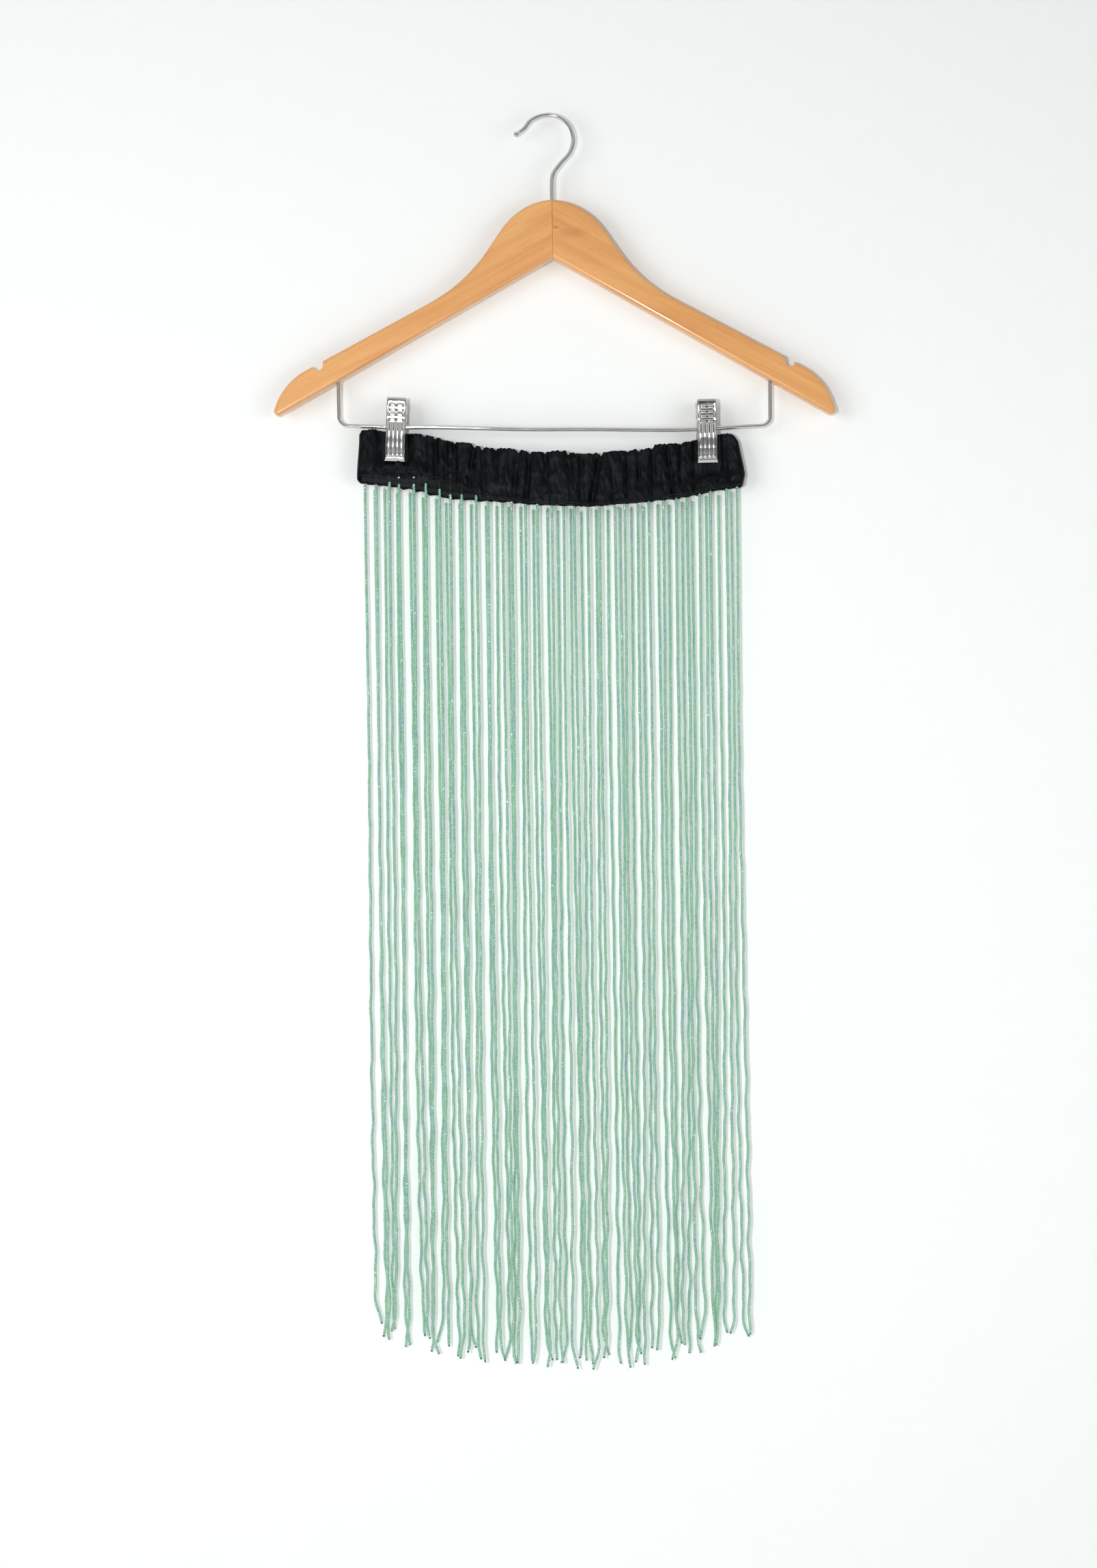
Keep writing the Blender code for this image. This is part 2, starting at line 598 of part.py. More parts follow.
def make_band(name, row, gathers, facing, satin):
    """One layer of the waistband: a thin wall, plain inside and gathered outside."""
    builder = bmesh.new()
    columns = [index / BAND_COLUMNS for index in range(BAND_COLUMNS + 1)]
    outer_depths = [index / BAND_ROWS for index in range(BAND_ROWS + 1)]
    inner_depths = [0.0, PINCH_END, (PINCH_END + PARTED) / 2.0, PARTED, 1.0]
    faces = {}
    for outer, depths in ((True, outer_depths), (False, inner_depths)):
        grid = [[builder.verts.new(band_point(row, gathers, facing, column, depth, outer))
                 for column in columns] for depth in depths]
        for high, low in zip(grid, grid[1:]):
            for index in range(BAND_COLUMNS):
                corners = (high[index], high[index + 1], low[index + 1], low[index])
                builder.faces.new(corners if outer == (facing < 0.0) else reversed(corners))
        faces[outer] = grid
    out = faces[True]
    inside = faces[False]
    for index in range(BAND_COLUMNS):
        for edge in (0, -1):
            builder.faces.new((out[edge][index], out[edge][index + 1],
                               inside[edge][index + 1], inside[edge][index]))
    for end in (0, -1):
        rim = [line[end] for line in out] + [line[end] for line in reversed(inside)]
        builder.faces.new(rim)
    add_object(name, builder, satin, SOFT)


def strand_route(row, index, facing):
    """Middle of a strand at each step, from its root down to its end."""
    x = strand_x(row, index)
    root_y = facing * tape_middle(x)
    root_z = hem_z(row, x) + TAPE_ABOVE_HEM
    end_z = fringe_end(x) + STRAND_RAGGED * math.sin(3.3 * index + row.phase * 2.0)
    drift = STRAND_DRIFT * math.sin(1.9 * index + row.phase)
    points = []
    for step in range(1, STRAND_STEPS + 1):
        fall = step / STRAND_STEPS
        sway = STRAND_SWAY * math.sin(6.0 * fall + 2.2 * index) * ease(fall * 3.0)
        points.append(Vector((
            x + drift * fall ** 3 + sway,
            root_y + facing * STRAND_SPREAD * (1.0 + math.sin(1.3 * index + 2.0 * fall)) * fall,
            root_z + (end_z - root_z) * fall)))
    return points


def fringe_end(x):
    """Height at which the strands end, lowest in the middle."""
    off = (x - FRINGE_END_MIDDLE_X) / FRINGE_END_HALF
    return FRINGE_END_Z - FRINGE_END_SAG * (1.0 - off * off)


def tape_middle(x):
    """Distance of a tape's middle from the middle of the belt."""
    return along(BAND_STATIONS, "part_hem", x) - TAPE_CLEARANCE - TAPE_THICKNESS / 2.0


def make_fringe(row, facing, bead):
    """A tape inside the hem, its strands drawn down from its lower face."""
    builder = bmesh.new()
    half = STRAND_WIDTH / 2.0
    columns = [(BAND_LEFT_X + TAPE_LEFT_INSET, None)]
    for index in range(row.count):
        x = strand_x(row, index)
        columns.append((x - half, index))
        columns.append((x + half, None))
        if index + 1 < row.count:
            columns.append(((x + strand_x(row, index + 1)) / 2.0, None))
    columns.append((BAND_RIGHT_X - TAPE_RIGHT_INSET, None))
    sections = []
    for x, _ in columns:
        middle = facing * tape_middle(x)
        low = hem_z(row, x) + TAPE_ABOVE_HEM
        sections.append([builder.verts.new((x, middle + y, low + z)) for y, z in (
            (-TAPE_THICKNESS / 2.0, 0.0), (TAPE_THICKNESS / 2.0, 0.0),
            (TAPE_THICKNESS / 2.0, TAPE_HEIGHT), (-TAPE_THICKNESS / 2.0, TAPE_HEIGHT))])
    for (left, right), (_, index) in zip(zip(sections, sections[1:]), columns):
        for side in range(1, 4):
            following = (side + 1) % 4
            builder.faces.new((left[side], left[following], right[following], right[side]))
        root = [left[0], left[1], right[1], right[0]]
        if index is None:
            builder.faces.new(root)
        else:
            draw_strand(builder, root, strand_route(row, index, facing))
    builder.faces.new(sections[0])
    builder.faces.new(sections[-1])
    add_object(row.name, builder, bead, SOFT)


def draw_strand(builder, root, route):
    """A four-sided strand from its root's four corners down its route, closed at the end."""
    half = STRAND_WIDTH / 2.0
    ring = root
    for point in route:
        lower = [builder.verts.new(point + Vector((x * half, y * half, 0.0)))
                 for x, y in ((-1, -1), (-1, 1), (1, 1), (1, -1))]
        for side in range(4):
            following = (side + 1) % 4
            builder.faces.new((ring[side], ring[following], lower[following], lower[side]))
        ring = lower
    builder.faces.new(ring)


def main():
    for item in list(bpy.data.objects):
        bpy.data.objects.remove(item)
    bpy.data.materials.new("cutter")
    wood = material("lacquered wood", (0.73, 0.38, 0.13), 0.32)
    chrome = material("chrome", (0.78, 0.78, 0.79), 0.12, 1.0)
    satin = material("black satin", (0.006, 0.006, 0.008), 0.45)
    bead = material("green glass beads", (0.16, 0.42, 0.26), 0.2)
    for arm in ARMS:
        make_arm(arm, wood)
    make_hook(chrome)
    make_bar(chrome)
    for clip in CLIPS:
        make_jaw(clip, -1.0, chrome)
        make_jaw(clip, 1.0, chrome)
        make_spring(clip, chrome)
    make_band("band_front", FRINGE_FRONT, FRONT_GATHERS, -1.0, satin)
    make_band("band_back", FRINGE_BACK, BACK_GATHERS, 1.0, satin)
    make_fringe(FRINGE_FRONT, -1.0, bead)
    make_fringe(FRINGE_BACK, 1.0, bead)


main()
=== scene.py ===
"""Looks of the fringe belt on its clip hanger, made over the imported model.

Lengths are in metres, +Z is up, and the front of the belt faces -Y.
The origin is where the hook hangs.
The forms follow the model's own, with the finer detail that it leaves out.
"""

import json
import math
from collections import namedtuple

import bmesh
import bpy
import numpy as np
from mathutils import Matrix, Vector, noise

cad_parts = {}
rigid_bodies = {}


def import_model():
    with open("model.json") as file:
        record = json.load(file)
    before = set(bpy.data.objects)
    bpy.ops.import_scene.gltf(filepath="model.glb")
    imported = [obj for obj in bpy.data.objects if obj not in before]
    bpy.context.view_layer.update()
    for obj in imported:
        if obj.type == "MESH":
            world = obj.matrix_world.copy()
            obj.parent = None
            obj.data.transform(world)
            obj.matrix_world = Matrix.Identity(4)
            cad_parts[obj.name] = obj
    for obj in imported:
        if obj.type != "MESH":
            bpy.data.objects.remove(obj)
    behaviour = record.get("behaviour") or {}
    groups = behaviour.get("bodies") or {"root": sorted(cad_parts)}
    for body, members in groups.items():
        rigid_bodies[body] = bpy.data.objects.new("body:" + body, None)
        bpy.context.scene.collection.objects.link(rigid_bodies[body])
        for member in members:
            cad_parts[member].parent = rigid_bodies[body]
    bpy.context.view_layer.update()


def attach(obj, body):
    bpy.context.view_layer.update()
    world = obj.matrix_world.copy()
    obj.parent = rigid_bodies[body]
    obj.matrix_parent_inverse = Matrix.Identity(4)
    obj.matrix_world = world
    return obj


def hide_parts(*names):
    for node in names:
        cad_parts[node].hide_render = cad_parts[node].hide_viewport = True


bl_info = {
    "name": "Fringe Belt on a Clip Hanger",
    "version": (1, 0, 0),
    "blender": (4, 5, 0),
    "location": "3D View > Sidebar > Fringe Belt",
    "description": "Builds the looks of a beaded fringe belt that hangs from a wooden clip hanger",
    "category": "Object",
}

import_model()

MM = 0.001
BODY = "root"
CRISP = math.radians(28.0)
SOFT = math.radians(50.0)

# Wooden arms: an outline for each, with x from the middle outwards, as the right arm droops a little more
ARM_TURN_STEP = math.radians(3.0)
ARM_EDGE_STEPS = 6
ARM_GRAIN_TILT = math.radians(27.7)
MITRE_GAP = 0.15 * MM
Corner = namedtuple("Corner", "x z radius")
HEAD_CORNERS = (
    Corner(0.0, -66.4, 0.0),
    Corner(14.5, -67.2, 48.0),
    Corner(35.0, -81.5, 58.0),
)
Arm = namedtuple("Arm", "name side corners notch_floor")
ARMS = (
    Arm("arm_left", -1.0, HEAD_CORNERS + (
        Corner(69.6, -131.8, 130.0),
        Corner(213.2, -207.9, 50.0),
        Corner(224.6, -238.0, 3.4),
        Corner(0.0, -112.2, 0.0)), -199.2),
    Arm("arm_right", 1.0, HEAD_CORNERS + (
        Corner(69.4, -131.4, 120.0),
        Corner(213.2, -209.0, 50.0),
        Corner(224.6, -242.0, 3.4),
        Corner(0.0, -112.2, 0.0)), -200.5),
)
NOTCH_X = 186.2 * MM
NOTCH_RADIUS = 3.9 * MM
NOTCH_SIDES = 40
NOTCH_LEAN = math.radians(20.0)
NOTCH_MOUTH = 3.0 * NOTCH_RADIUS
KnotMark = namedtuple("KnotMark", "centre reach strength code")
KNOT_MARKS = (
    KnotMark(Vector((15.0, -6.5, -93.0)) * MM, (17.0, 60.0, 6.0), 0.35, "A0642F"),
    KnotMark(Vector((2.4, -6.5, -88.6)) * MM, (3.4, 60.0, 1.6), 0.5, "74441E"),
)

# Bent wires: the hook and the bar
HOOK_BALL_RADIUS = 2.3 * MM
HOOK_NECK_RADIUS = 1.2 * MM
HOOK_STEM_DEPTH = 20.0 * MM
HOOK_STEPS_PER_BEND = 12
BALL_STEPS = 12
WIRE_SIDES = 20
BAR_LEG_X = 170.5 * MM
BAR_LEG_TOP_Z = -201.0 * MM
BAR_BEND_RADIUS = 7.5 * MM
BAR_BEND_STEPS = 14
BAR_SPANS = 48
SOCKET_CLEARANCE = 0.3 * MM
SOCKET_MOUTH = 25.0 * MM
Bend = namedtuple("Bend", "x z")
HOOK_BENDS = (
    Bend(-27.6, -13.2),
    Bend(-21.6, -9.0),
    Bend(-16.6, -2.9),
    Bend(-8.6, 1.0),
    Bend(0.0, 1.7),
    Bend(8.6, -1.4),
    Bend(15.2, -8.6),
    Bend(17.4, -18.6),
    Bend(14.2, -28.6),
    Bend(6.4, -37.4),
    Bend(0.9, -45.4),
    Bend(0.0, -54.0),
    Bend(0.0, -66.0),
)
BAR_SAG = (
    Bend(-170.5, -242.2),
    Bend(-113.0, -243.8),
    Bend(0.0, -246.8),
    Bend(98.0, -248.2),
    Bend(170.5, -246.0),
)

# Clips: pressed jaws with grip bars above, long ribs below and a flared lip
Clip = namedtuple("Clip", "name x lean")
CLIPS = (
    Clip("clip_left", -125.3, 3.1),
    Clip("clip_right", 120.1, -0.9),
)
CLIP_WIDTH = 16.8 * MM
CLIP_SHEET = 1.1 * MM
JAW_THICKNESS = CLIP_SHEET * 0.8
JawStation = namedtuple("JawStation", "z stand_off flange half_width")
JAW_STATIONS = (
    JawStation(21.9, 9.2, 0.6, 7.5),
    JawStation(21.5, 9.6, 1.2, 7.7),
    JawStation(20.7, 9.8, 1.6, 7.8),
    JawStation(8.0, 8.6, 3.4, 7.8),
    JawStation(4.0, 8.2, 5.0, 7.85),
    JawStation(-4.0, 7.9, 4.6, 7.9),
    JawStation(-7.2, 7.4, 3.0, 7.9),
    JawStation(-15.6, 5.8, 1.2, 7.95),
    JawStation(-23.1, 4.0, 0.5, 8.0),
    JawStation(-25.0, 3.6, 0.3, 8.1),
    JawStation(-27.6, 4.8, 0.2, 8.45),
)
JAW_CORNER = 1.25 * MM
JAW_LOBE_Z = 3.3 * MM
JAW_BORE = 2.05 * MM
JAW_LOBE_GAP = 0.25 * MM
JAW_FACE_HALF = 7.4
JAW_RELIEF_COLUMNS = 32
JAW_CORNER_STEPS = 4
JAW_FLANGE_STEPS = 3
GRIP_ROWS = (15.8, 12.1, 8.45, 4.8)
GRIP_HALF_HEIGHT = 1.5
GRIP_HALF_WIDTH = 2.95
GRIP_MIDDLE_X = 3.25
GRIP_HIP = 1.5
GRIP_RISE = 0.85
GRIP_PANEL_SINK = 0.25
RIB_PITCH = 3.7
RIB_RISE = 0.85
RIB_TOP_Z = 3.0
RIB_LOW_Z = -24.2
RIB_FADE = 1.1
RIB_END_ROUND = 1.9
SPRING_RADIUS = 2.65 * MM
SPRING_WIRE = 0.55 * MM
SPRING_TURNS = 9
SPRING_SIDES = 8
SPRING_STEPS_PER_TURN = 16
SPRING_HALF = 6.3 * MM
SPRING_LEG = Vector((0.0, 6.6, 8.4)) * MM

# Waistband: stations along the flat belt, for its edges and for how far its two layers part
CLOTH = 1.5 * MM
FOLDED_EDGE = CLOTH * 0.9
BAND_LEFT_X = -157.0 * MM
BAND_RIGHT_X = 150.2 * MM
BAND_COLUMNS = 430
BAND_ROWS_OUT = 42
BAND_ROWS_IN = 16
END_ROUND = 2.8 * MM
END_STEPS = 12
FOLD_LEAN_LEFT = 2.2 * MM
FOLD_LEAN_RIGHT = 5.8 * MM
FOLD_LEAN_END = 0.75
FOLD_CORNER_RIGHT = 2.8 * MM
FOLD_CORNER_END = 0.15
FOLD_TUCK_RIGHT = 1.6 * MM
FOLD_TUCK_FROM = 0.75
FOLD_REACH = 20.0 * MM
FULLNESS = 1.3 * MM
FULLNESS_REACH = 5.0 * MM
GATHER_FADE = 0.12
GATHER_DEPTH = 1.4
LEAST_PROUD = -0.9 * MM
CREASE_SHARPNESS = 1.35
RUFFLE_DIP = 1.9 * MM
RUFFLE_WIDTH = 1.2
RUFFLE_LIFT = 2.0 * MM
# Uneven edges, as the width of a wave in millimetres, its place in the noise and its share
RUFFLE_WAVES = ((3.1, 0.0, 0.6), (1.5, 7.0, 0.4))
HEM_WAVER_WIDTH = 2.3
HEM_WAVER = 0.5
# Fine wrinkles, width and height in millimetres: one kind is soft, the others are ridged
WRINKLE = 0.42 * MM
RIDGE_BASE = 0.4
RIDGE_GAIN = 2.0
Wrinkle = namedtuple("Wrinkle", "share lean width height level ridged")
WRINKLES = (
    Wrinkle(0.8, 0.0, 3.4, 17.0, 0.0, False),
    Wrinkle(0.9, 0.3, 4.6, 15.0, 5.0, True),
    Wrinkle(0.5, -0.5, 2.9, 6.0, 9.0, True),
)
SCALLOP_HALF = 4.6 * MM
SCALLOP_OPEN = 2.4 * MM
SCALLOP_CLOSED = 1.2 * MM
SCALLOP_SPACED = 2.6 * MM
SCALLOP_OPEN_X = -30.0 * MM
SCALLOP_FADE = 30.0 * MM
HEM_ROLL = 0.5 * MM
HEM_ROLL_SHARE = 0.045
BandStation = namedtuple("BandStation", "x top front_hem back_hem part_top part_hem")
BAND_STATIONS = (
    BandStation(-157.0, -248.8, -283.4, -286.4, 0.2, 0.2),
    BandStation(-154.6, -246.2, -283.2, -287.4, 1.8, 3.1),
    BandStation(-142.0, -245.2, -282.4, -289.2, 1.8, 3.1),
    BandStation(-136.4, -246.8, -282.2, -290.0, 0.2, 3.1),
    BandStation(-116.6, -249.2, -282.4, -293.0, 0.2, 3.1),
    BandStation(-109.0, -249.4, -282.8, -294.8, 2.6, 3.6),
    BandStation(-97.0, -251.6, -286.2, -297.8, 3.8, 4.4),
    BandStation(-84.0, -256.0, -290.4, -300.4, 4.8, 5.2),
    BandStation(-70.0, -257.4, -294.8, -301.6, 5.8, 6.0),
    BandStation(-56.0, -261.6, -302.0, -302.8, 6.6, 6.6),
    BandStation(-42.0, -262.4, -304.0, -303.8, 7.4, 7.2),
    BandStation(-14.0, -265.6, -306.2, -305.8, 8.2, 8.0),
    BandStation(6.0, -265.2, -308.0, -306.8, 8.2, 8.0),
    BandStation(20.0, -267.6, -309.4, -307.6, 7.9, 7.8),
    BandStation(34.0, -267.2, -309.4, -307.6, 7.4, 7.4),
    BandStation(48.0, -265.4, -307.6, -306.2, 6.6, 6.8),
    BandStation(70.0, -264.2, -306.0, -305.2, 5.3, 5.9),
    BandStation(82.0, -260.4, -303.6, -304.0, 4.5, 5.2),
    BandStation(94.0, -259.8, -303.0, -303.6, 3.4, 4.4),
    BandStation(104.6, -258.4, -301.4, -302.0, 1.6, 3.4),
    BandStation(110.6, -256.4, -299.4, -300.4, 0.2, 3.1),
    BandStation(129.4, -252.8, -295.6, -296.6, 0.2, 3.1),
    BandStation(136.0, -251.8, -295.0, -296.0, 1.8, 3.1),
    BandStation(147.8, -252.6, -293.6, -294.6, 1.8, 3.1),
    BandStation(150.2, -254.0, -293.0, -293.6, 0.2, 0.2),
)
PINCH_END = 0.68
PARTED = 0.82
PRESSED_MARGIN = 1.4 * MM
PRESSED_FADE = 3.0 * MM
PRESSED_DEPTH = 24.0 * MM
PRESSED_FLAT = 0.9
Gather = namedtuple("Gather", "x lean depth width start end")
FRONT_GATHERS = (
    Gather(-139.6, 1.0, 0.9, 3.4, 0.0, 1.0),
    Gather(-103.1, 0.0, 1.0, 2.2, 0.0, 1.0),
    Gather(-94.2, 0.4, 1.3, 2.0, 0.0, 1.0),
    Gather(-86.1, 0.6, 1.2, 1.8, 0.1, 1.0),
    Gather(-79.1, 0.0, 1.1, 1.9, 0.0, 0.9),
    Gather(-66.1, -5.0, 1.4, 2.0, 0.0, 1.0),
    Gather(-57.0, 0.6, 1.0, 1.9, 0.0, 1.0),
    Gather(-46.7, 0.0, 1.1, 2.2, 0.0, 0.6),
    Gather(-31.3, -4.6, 1.4, 2.2, 0.0, 1.0),
    Gather(-21.6, -3.2, 1.2, 2.0, 0.0, 0.95),
    Gather(-7.8, 0.4, 1.2, 2.4, 0.0, 0.55),
    Gather(11.6, 2.4, 1.3, 3.2, 0.0, 0.5),
    Gather(20.8, 0.2, 1.1, 2.0, 0.1, 1.0),
    Gather(31.9, -8.0, 1.4, 2.4, 0.0, 1.0),
    Gather(45.0, 3.0, 0.8, 3.0, 0.4, 1.0),
    Gather(57.5, 0.4, 1.3, 1.8, 0.0, 1.0),
    Gather(66.1, 0.8, 0.9, 1.8, 0.0, 0.5),
    Gather(76.9, 1.0, 1.2, 2.0, 0.0, 1.0),
    Gather(90.7, 5.6, 1.4, 2.2, 0.15, 1.0),
    Gather(99.1, 0.0, 1.0, 1.9, 0.0, 0.8),
    Gather(110.4, 0.8, 0.9, 2.0, 0.0, 1.0),
    Gather(129.9, -1.2, 1.1, 2.4, 0.3, 1.0),
    Gather(137.0, 4.0, 0.9, 2.6, 0.0, 1.0),
)
BACK_GATHERS = (
    Gather(-143.0, 0.8, 0.9, 2.6, 0.0, 1.0),
    Gather(-112.0, -1.2, 1.1, 2.2, 0.1, 1.0),
    Gather(-99.0, 2.6, 1.3, 2.4, 0.0, 1.0),
    Gather(-85.0, -0.6, 1.0, 1.9, 0.0, 0.7),
    Gather(-73.5, 3.4, 1.4, 2.2, 0.0, 1.0),
    Gather(-61.0, 0.4, 1.2, 2.0, 0.2, 1.0),
    Gather(-50.0, -2.4, 1.3, 2.1, 0.0, 1.0),
    Gather(-36.0, 1.0, 1.0, 2.6, 0.0, 0.6),
    Gather(-25.0, 4.6, 1.4, 2.1, 0.0, 1.0),
    Gather(-12.0, -0.8, 1.1, 1.9, 0.1, 1.0),
    Gather(3.0, -3.6, 1.4, 2.4, 0.0, 1.0),
    Gather(15.0, 0.8, 1.0, 2.0, 0.0, 0.55),
    Gather(27.5, 2.0, 1.3, 2.1, 0.0, 1.0),
    Gather(39.0, -1.0, 1.1, 2.4, 0.35, 1.0),
    Gather(51.0, -4.4, 1.4, 2.2, 0.0, 1.0),
    Gather(64.5, 0.6, 1.0, 1.9, 0.0, 1.0),
    Gather(74.0, 1.6, 1.2, 2.0, 0.0, 0.7),
    Gather(87.0, -2.8, 1.4, 2.3, 0.0, 1.0),
    Gather(101.0, 0.6, 1.0, 2.0, 0.1, 1.0),
    Gather(131.0, 1.4, 1.0, 2.2, 0.0, 1.0),
)
# Small creases between the gathers, from (x1, z1) to (x2, z2) in millimetres: ridges rise, dimples sink
Crease = namedtuple("Crease", "x1 z1 x2 z2 rise width")
FRONT_CREASES = (
    Crease(-40.1, -266.0, -37.8, -287.0, 0.5, 1.0),
    Crease(-41.6, -276.0, -41.0, -290.0, -0.5, 1.0),
    Crease(-16.6, -294.4, -11.9, -303.1, 0.5, 0.9),
    Crease(-11.9, -303.1, -4.3, -297.8, 0.5, 0.9),
    Crease(8.4, -270.4, 10.6, -273.8, 0.5, 0.9),
    Crease(10.6, -273.8, 14.6, -270.2, 0.5, 0.9),
    Crease(14.6, -270.2, 17.6, -274.4, 0.5, 0.9),
    Crease(11.8, -277.4, 12.6, -279.6, -0.8, 1.4),
    Crease(30.0, -284.0, 25.0, -300.0, 0.4, 1.2),
    Crease(72.6, -266.4, 68.0, -279.0, 0.5, 1.3),
    Crease(66.0, -298.0, 70.4, -288.6, 0.5, 1.0),
    Crease(62.0, -297.0, 64.6, -303.6, -0.5, 1.0),
    Crease(86.4, -268.0, 91.6, -276.2, 0.6, 1.0),
    Crease(91.6, -276.2, 86.0, -281.4, 0.5, 0.9),
    Crease(88.4, -273.4, 90.6, -278.6, -0.9, 1.2),
    Crease(95.0, -284.0, 99.4, -297.0, 0.4, 1.2),
    Crease(126.0, -291.0, 133.0, -281.0, 0.5, 1.0),
    Crease(133.6, -276.0, 130.4, -289.0, 0.4, 1.0),
    Crease(-149.0, -255.0, -140.6, -262.0, 0.3, 1.8),
    Crease(-147.0, -277.0, -140.0, -270.0, 0.35, 1.4),
    Crease(-75.0, -287.0, -71.6, -292.6, 0.5, 0.9),
    Crease(-60.6, -292.0, -57.4, -299.0, 0.5, 0.9),
)
BACK_CREASES = (
    Crease(-136.0, -262.0, -128.0, -276.0, 0.4, 1.2),
    Crease(-106.0, -276.0, -103.0, -290.0, 0.5, 1.0),
    Crease(-91.0, -266.0, -93.4, -280.0, 0.4, 1.1),
    Crease(-79.4, -286.0, -75.4, -295.0, 0.5, 0.9),
    Crease(-66.6, -270.0, -68.6, -284.0, -0.5, 1.1),
    Crease(-42.6, -279.0, -39.0, -294.0, 0.5, 1.1),
    Crease(-31.0, -273.0, -27.0, -281.0, 0.5, 0.9),
    Crease(-18.0, -290.0, -14.0, -298.0, 0.5, 0.9),
    Crease(-3.0, -273.0, -4.6, -287.0, 0.4, 1.2),
    Crease(8.6, -286.0, 12.0, -299.0, 0.5, 1.0),
    Crease(21.0, -272.0, 22.4, -283.0, -0.5, 1.1),
    Crease(34.0, -284.0, 31.0, -298.0, 0.5, 1.1),
    Crease(45.4, -270.0, 47.0, -280.0, 0.4, 1.0),
    Crease(57.0, -283.0, 60.4, -296.0, 0.5, 1.1),
    Crease(80.0, -268.0, 82.0, -281.0, 0.5, 1.2),
    Crease(94.0, -280.0, 91.0, -293.0, 0.5, 1.0),
    Crease(114.0, -276.0, 110.0, -290.0, 0.4, 1.1),
    Crease(139.0, -268.0, 137.0, -284.0, 0.4, 1.3),
)

# Fringe: a tape inside each hem, and strands of beads on two threads each
TAPE_HEIGHT = 3.0 * MM
TAPE_THICKNESS = 0.9 * MM
TAPE_ABOVE_HEM = 2.4 * MM
TAPE_REACH = 1.45 * MM
TAPE_LEFT_INSET = 3.8 * MM
TAPE_RIGHT_INSET = 5.2 * MM
TAPE_COLUMNS = 300
TAPE_ROWS = 4
BEAD_SIDES = 6
BEAD_PITCH = 1.46 * MM
BEAD_RADIUS = 1.32 * MM
BEAD_GROOVE = 0.72
BEAD_UNEVEN = 0.06
BEAD_SHIFT = 0.11 * MM
BARE_LEFT = (8.4, 9.0, 7.1, 3.1, 2.8, 6.3, 7.9, 9.7, 6.5, 2.6, 4.2, 3.4)
BARE_FRONT = 0.3 * MM
BARE_BACK = 3.0 * MM
BARE_UNEVEN = 0.8 * MM
THREAD_RADIUS = 0.075 * MM
THREAD_SPREAD = 0.45 * MM
THREAD_TAIL = 2.6 * MM
STRAND_RAGGED = 5.0 * MM
STRAND_DRIFT = 2.6 * MM
STRAND_SWAY = 0.7 * MM
STRAND_SPREAD = 0.5 * MM
WAVE_TOP = 0.22 * MM
WAVE_GAIN = 0.85 * MM
CURL_SHARE = 0.032
CURL = 3.6 * MM
SPACED_STRANDS = (3, 4)
SPACED_GAP = 3
STOP_SCALE = (0.8, 0.8, 0.65)
STOP_SEGMENTS = 10
STOP_RINGS = 6
THREAD_SIDES = 6
# The ends lie 3.5 mm higher than the model's, where the photo has them
FRINGE_END_Z = -957.5 * MM
FRINGE_END_SAG = 27.0 * MM
FRINGE_END_MIDDLE_X = 5.0 * MM
FRINGE_END_HALF = 150.0 * MM
FringeRow = namedtuple("FringeRow", "name facing hem count first last jitter phase")
FRINGE_FRONT = FringeRow("front", -1.0, "front_hem", 31, -151.6, 143.4, 1.7, 0.6)
FRINGE_BACK = FringeRow("back", 1.0, "back_hem", 30, -144.4, 138.4, 1.5, 2.1)
# The band's two layers: the fringe under each, its gathers, its small creases and the seed of its wrinkles
BAND_SIDES = (
    (FRINGE_FRONT, FRONT_GATHERS, FRONT_CREASES, 1.0),
    (FRINGE_BACK, BACK_GATHERS, BACK_CREASES, 2.0),
)

# Hem stitches
STITCH_LENGTH = 1.9 * MM
STITCH_PITCH = 2.2 * MM
STITCH_RADIUS = 0.11 * MM
STITCH_DEPTH_SHARE = 0.955
# Along a stitch, and how far it stands out of the cloth there, in millimetres
STITCH_ARC = ((0.0, -0.15), (0.25, 0.09), (0.5, 0.12), (0.75, 0.09), (1.0, -0.15))

# Stage, for a picture of 1607 by 2296 pixels
VIEW_MIDDLE = Vector((-8.4, 0.0, -527.2)) * MM
VIEW_HEIGHT = 1239.8 * MM
VIEW_DISTANCE = 1.8
VIEW_ROLL = math.radians(0.7)
SENSOR = 36.0
WALL_Y = 14.5 * MM
WALL_HALF = 3.0
FLOOR_Z = -1.32
FLOOR_HALF = 6.0
KEY_LEFT = 0.23
KEY_UP = 0.03
KEY_SIZE = 0.05
Fill = namedtuple("Fill", "name place size share")
FILLS = (
    Fill("fill_left", (-1.6, -1.7, -0.3), 1.4, 1.0),
    Fill("fill_right", (1.6, -1.7, -0.5), 1.3, 0.62),
    Fill("behind", (0.3, 1.9, 0.2), 1.6, 0.8),
)


def hex_colour(code):
    """An sRGB hex colour as linear red, green and blue, with full alpha."""
    shares = [int(code[start:start + 2], 16) / 255.0 for start in (0, 2, 4)]
    linear = [share / 12.92 if share <= 0.04045 else ((share + 0.055) / 1.055) ** 2.4 for share in shares]
    return (*linear, 1.0)


def ease(t):
    """Smooth step from 0 to 1."""
    t = min(max(t, 0.0), 1.0)
    return t * t * (3.0 - 2.0 * t)


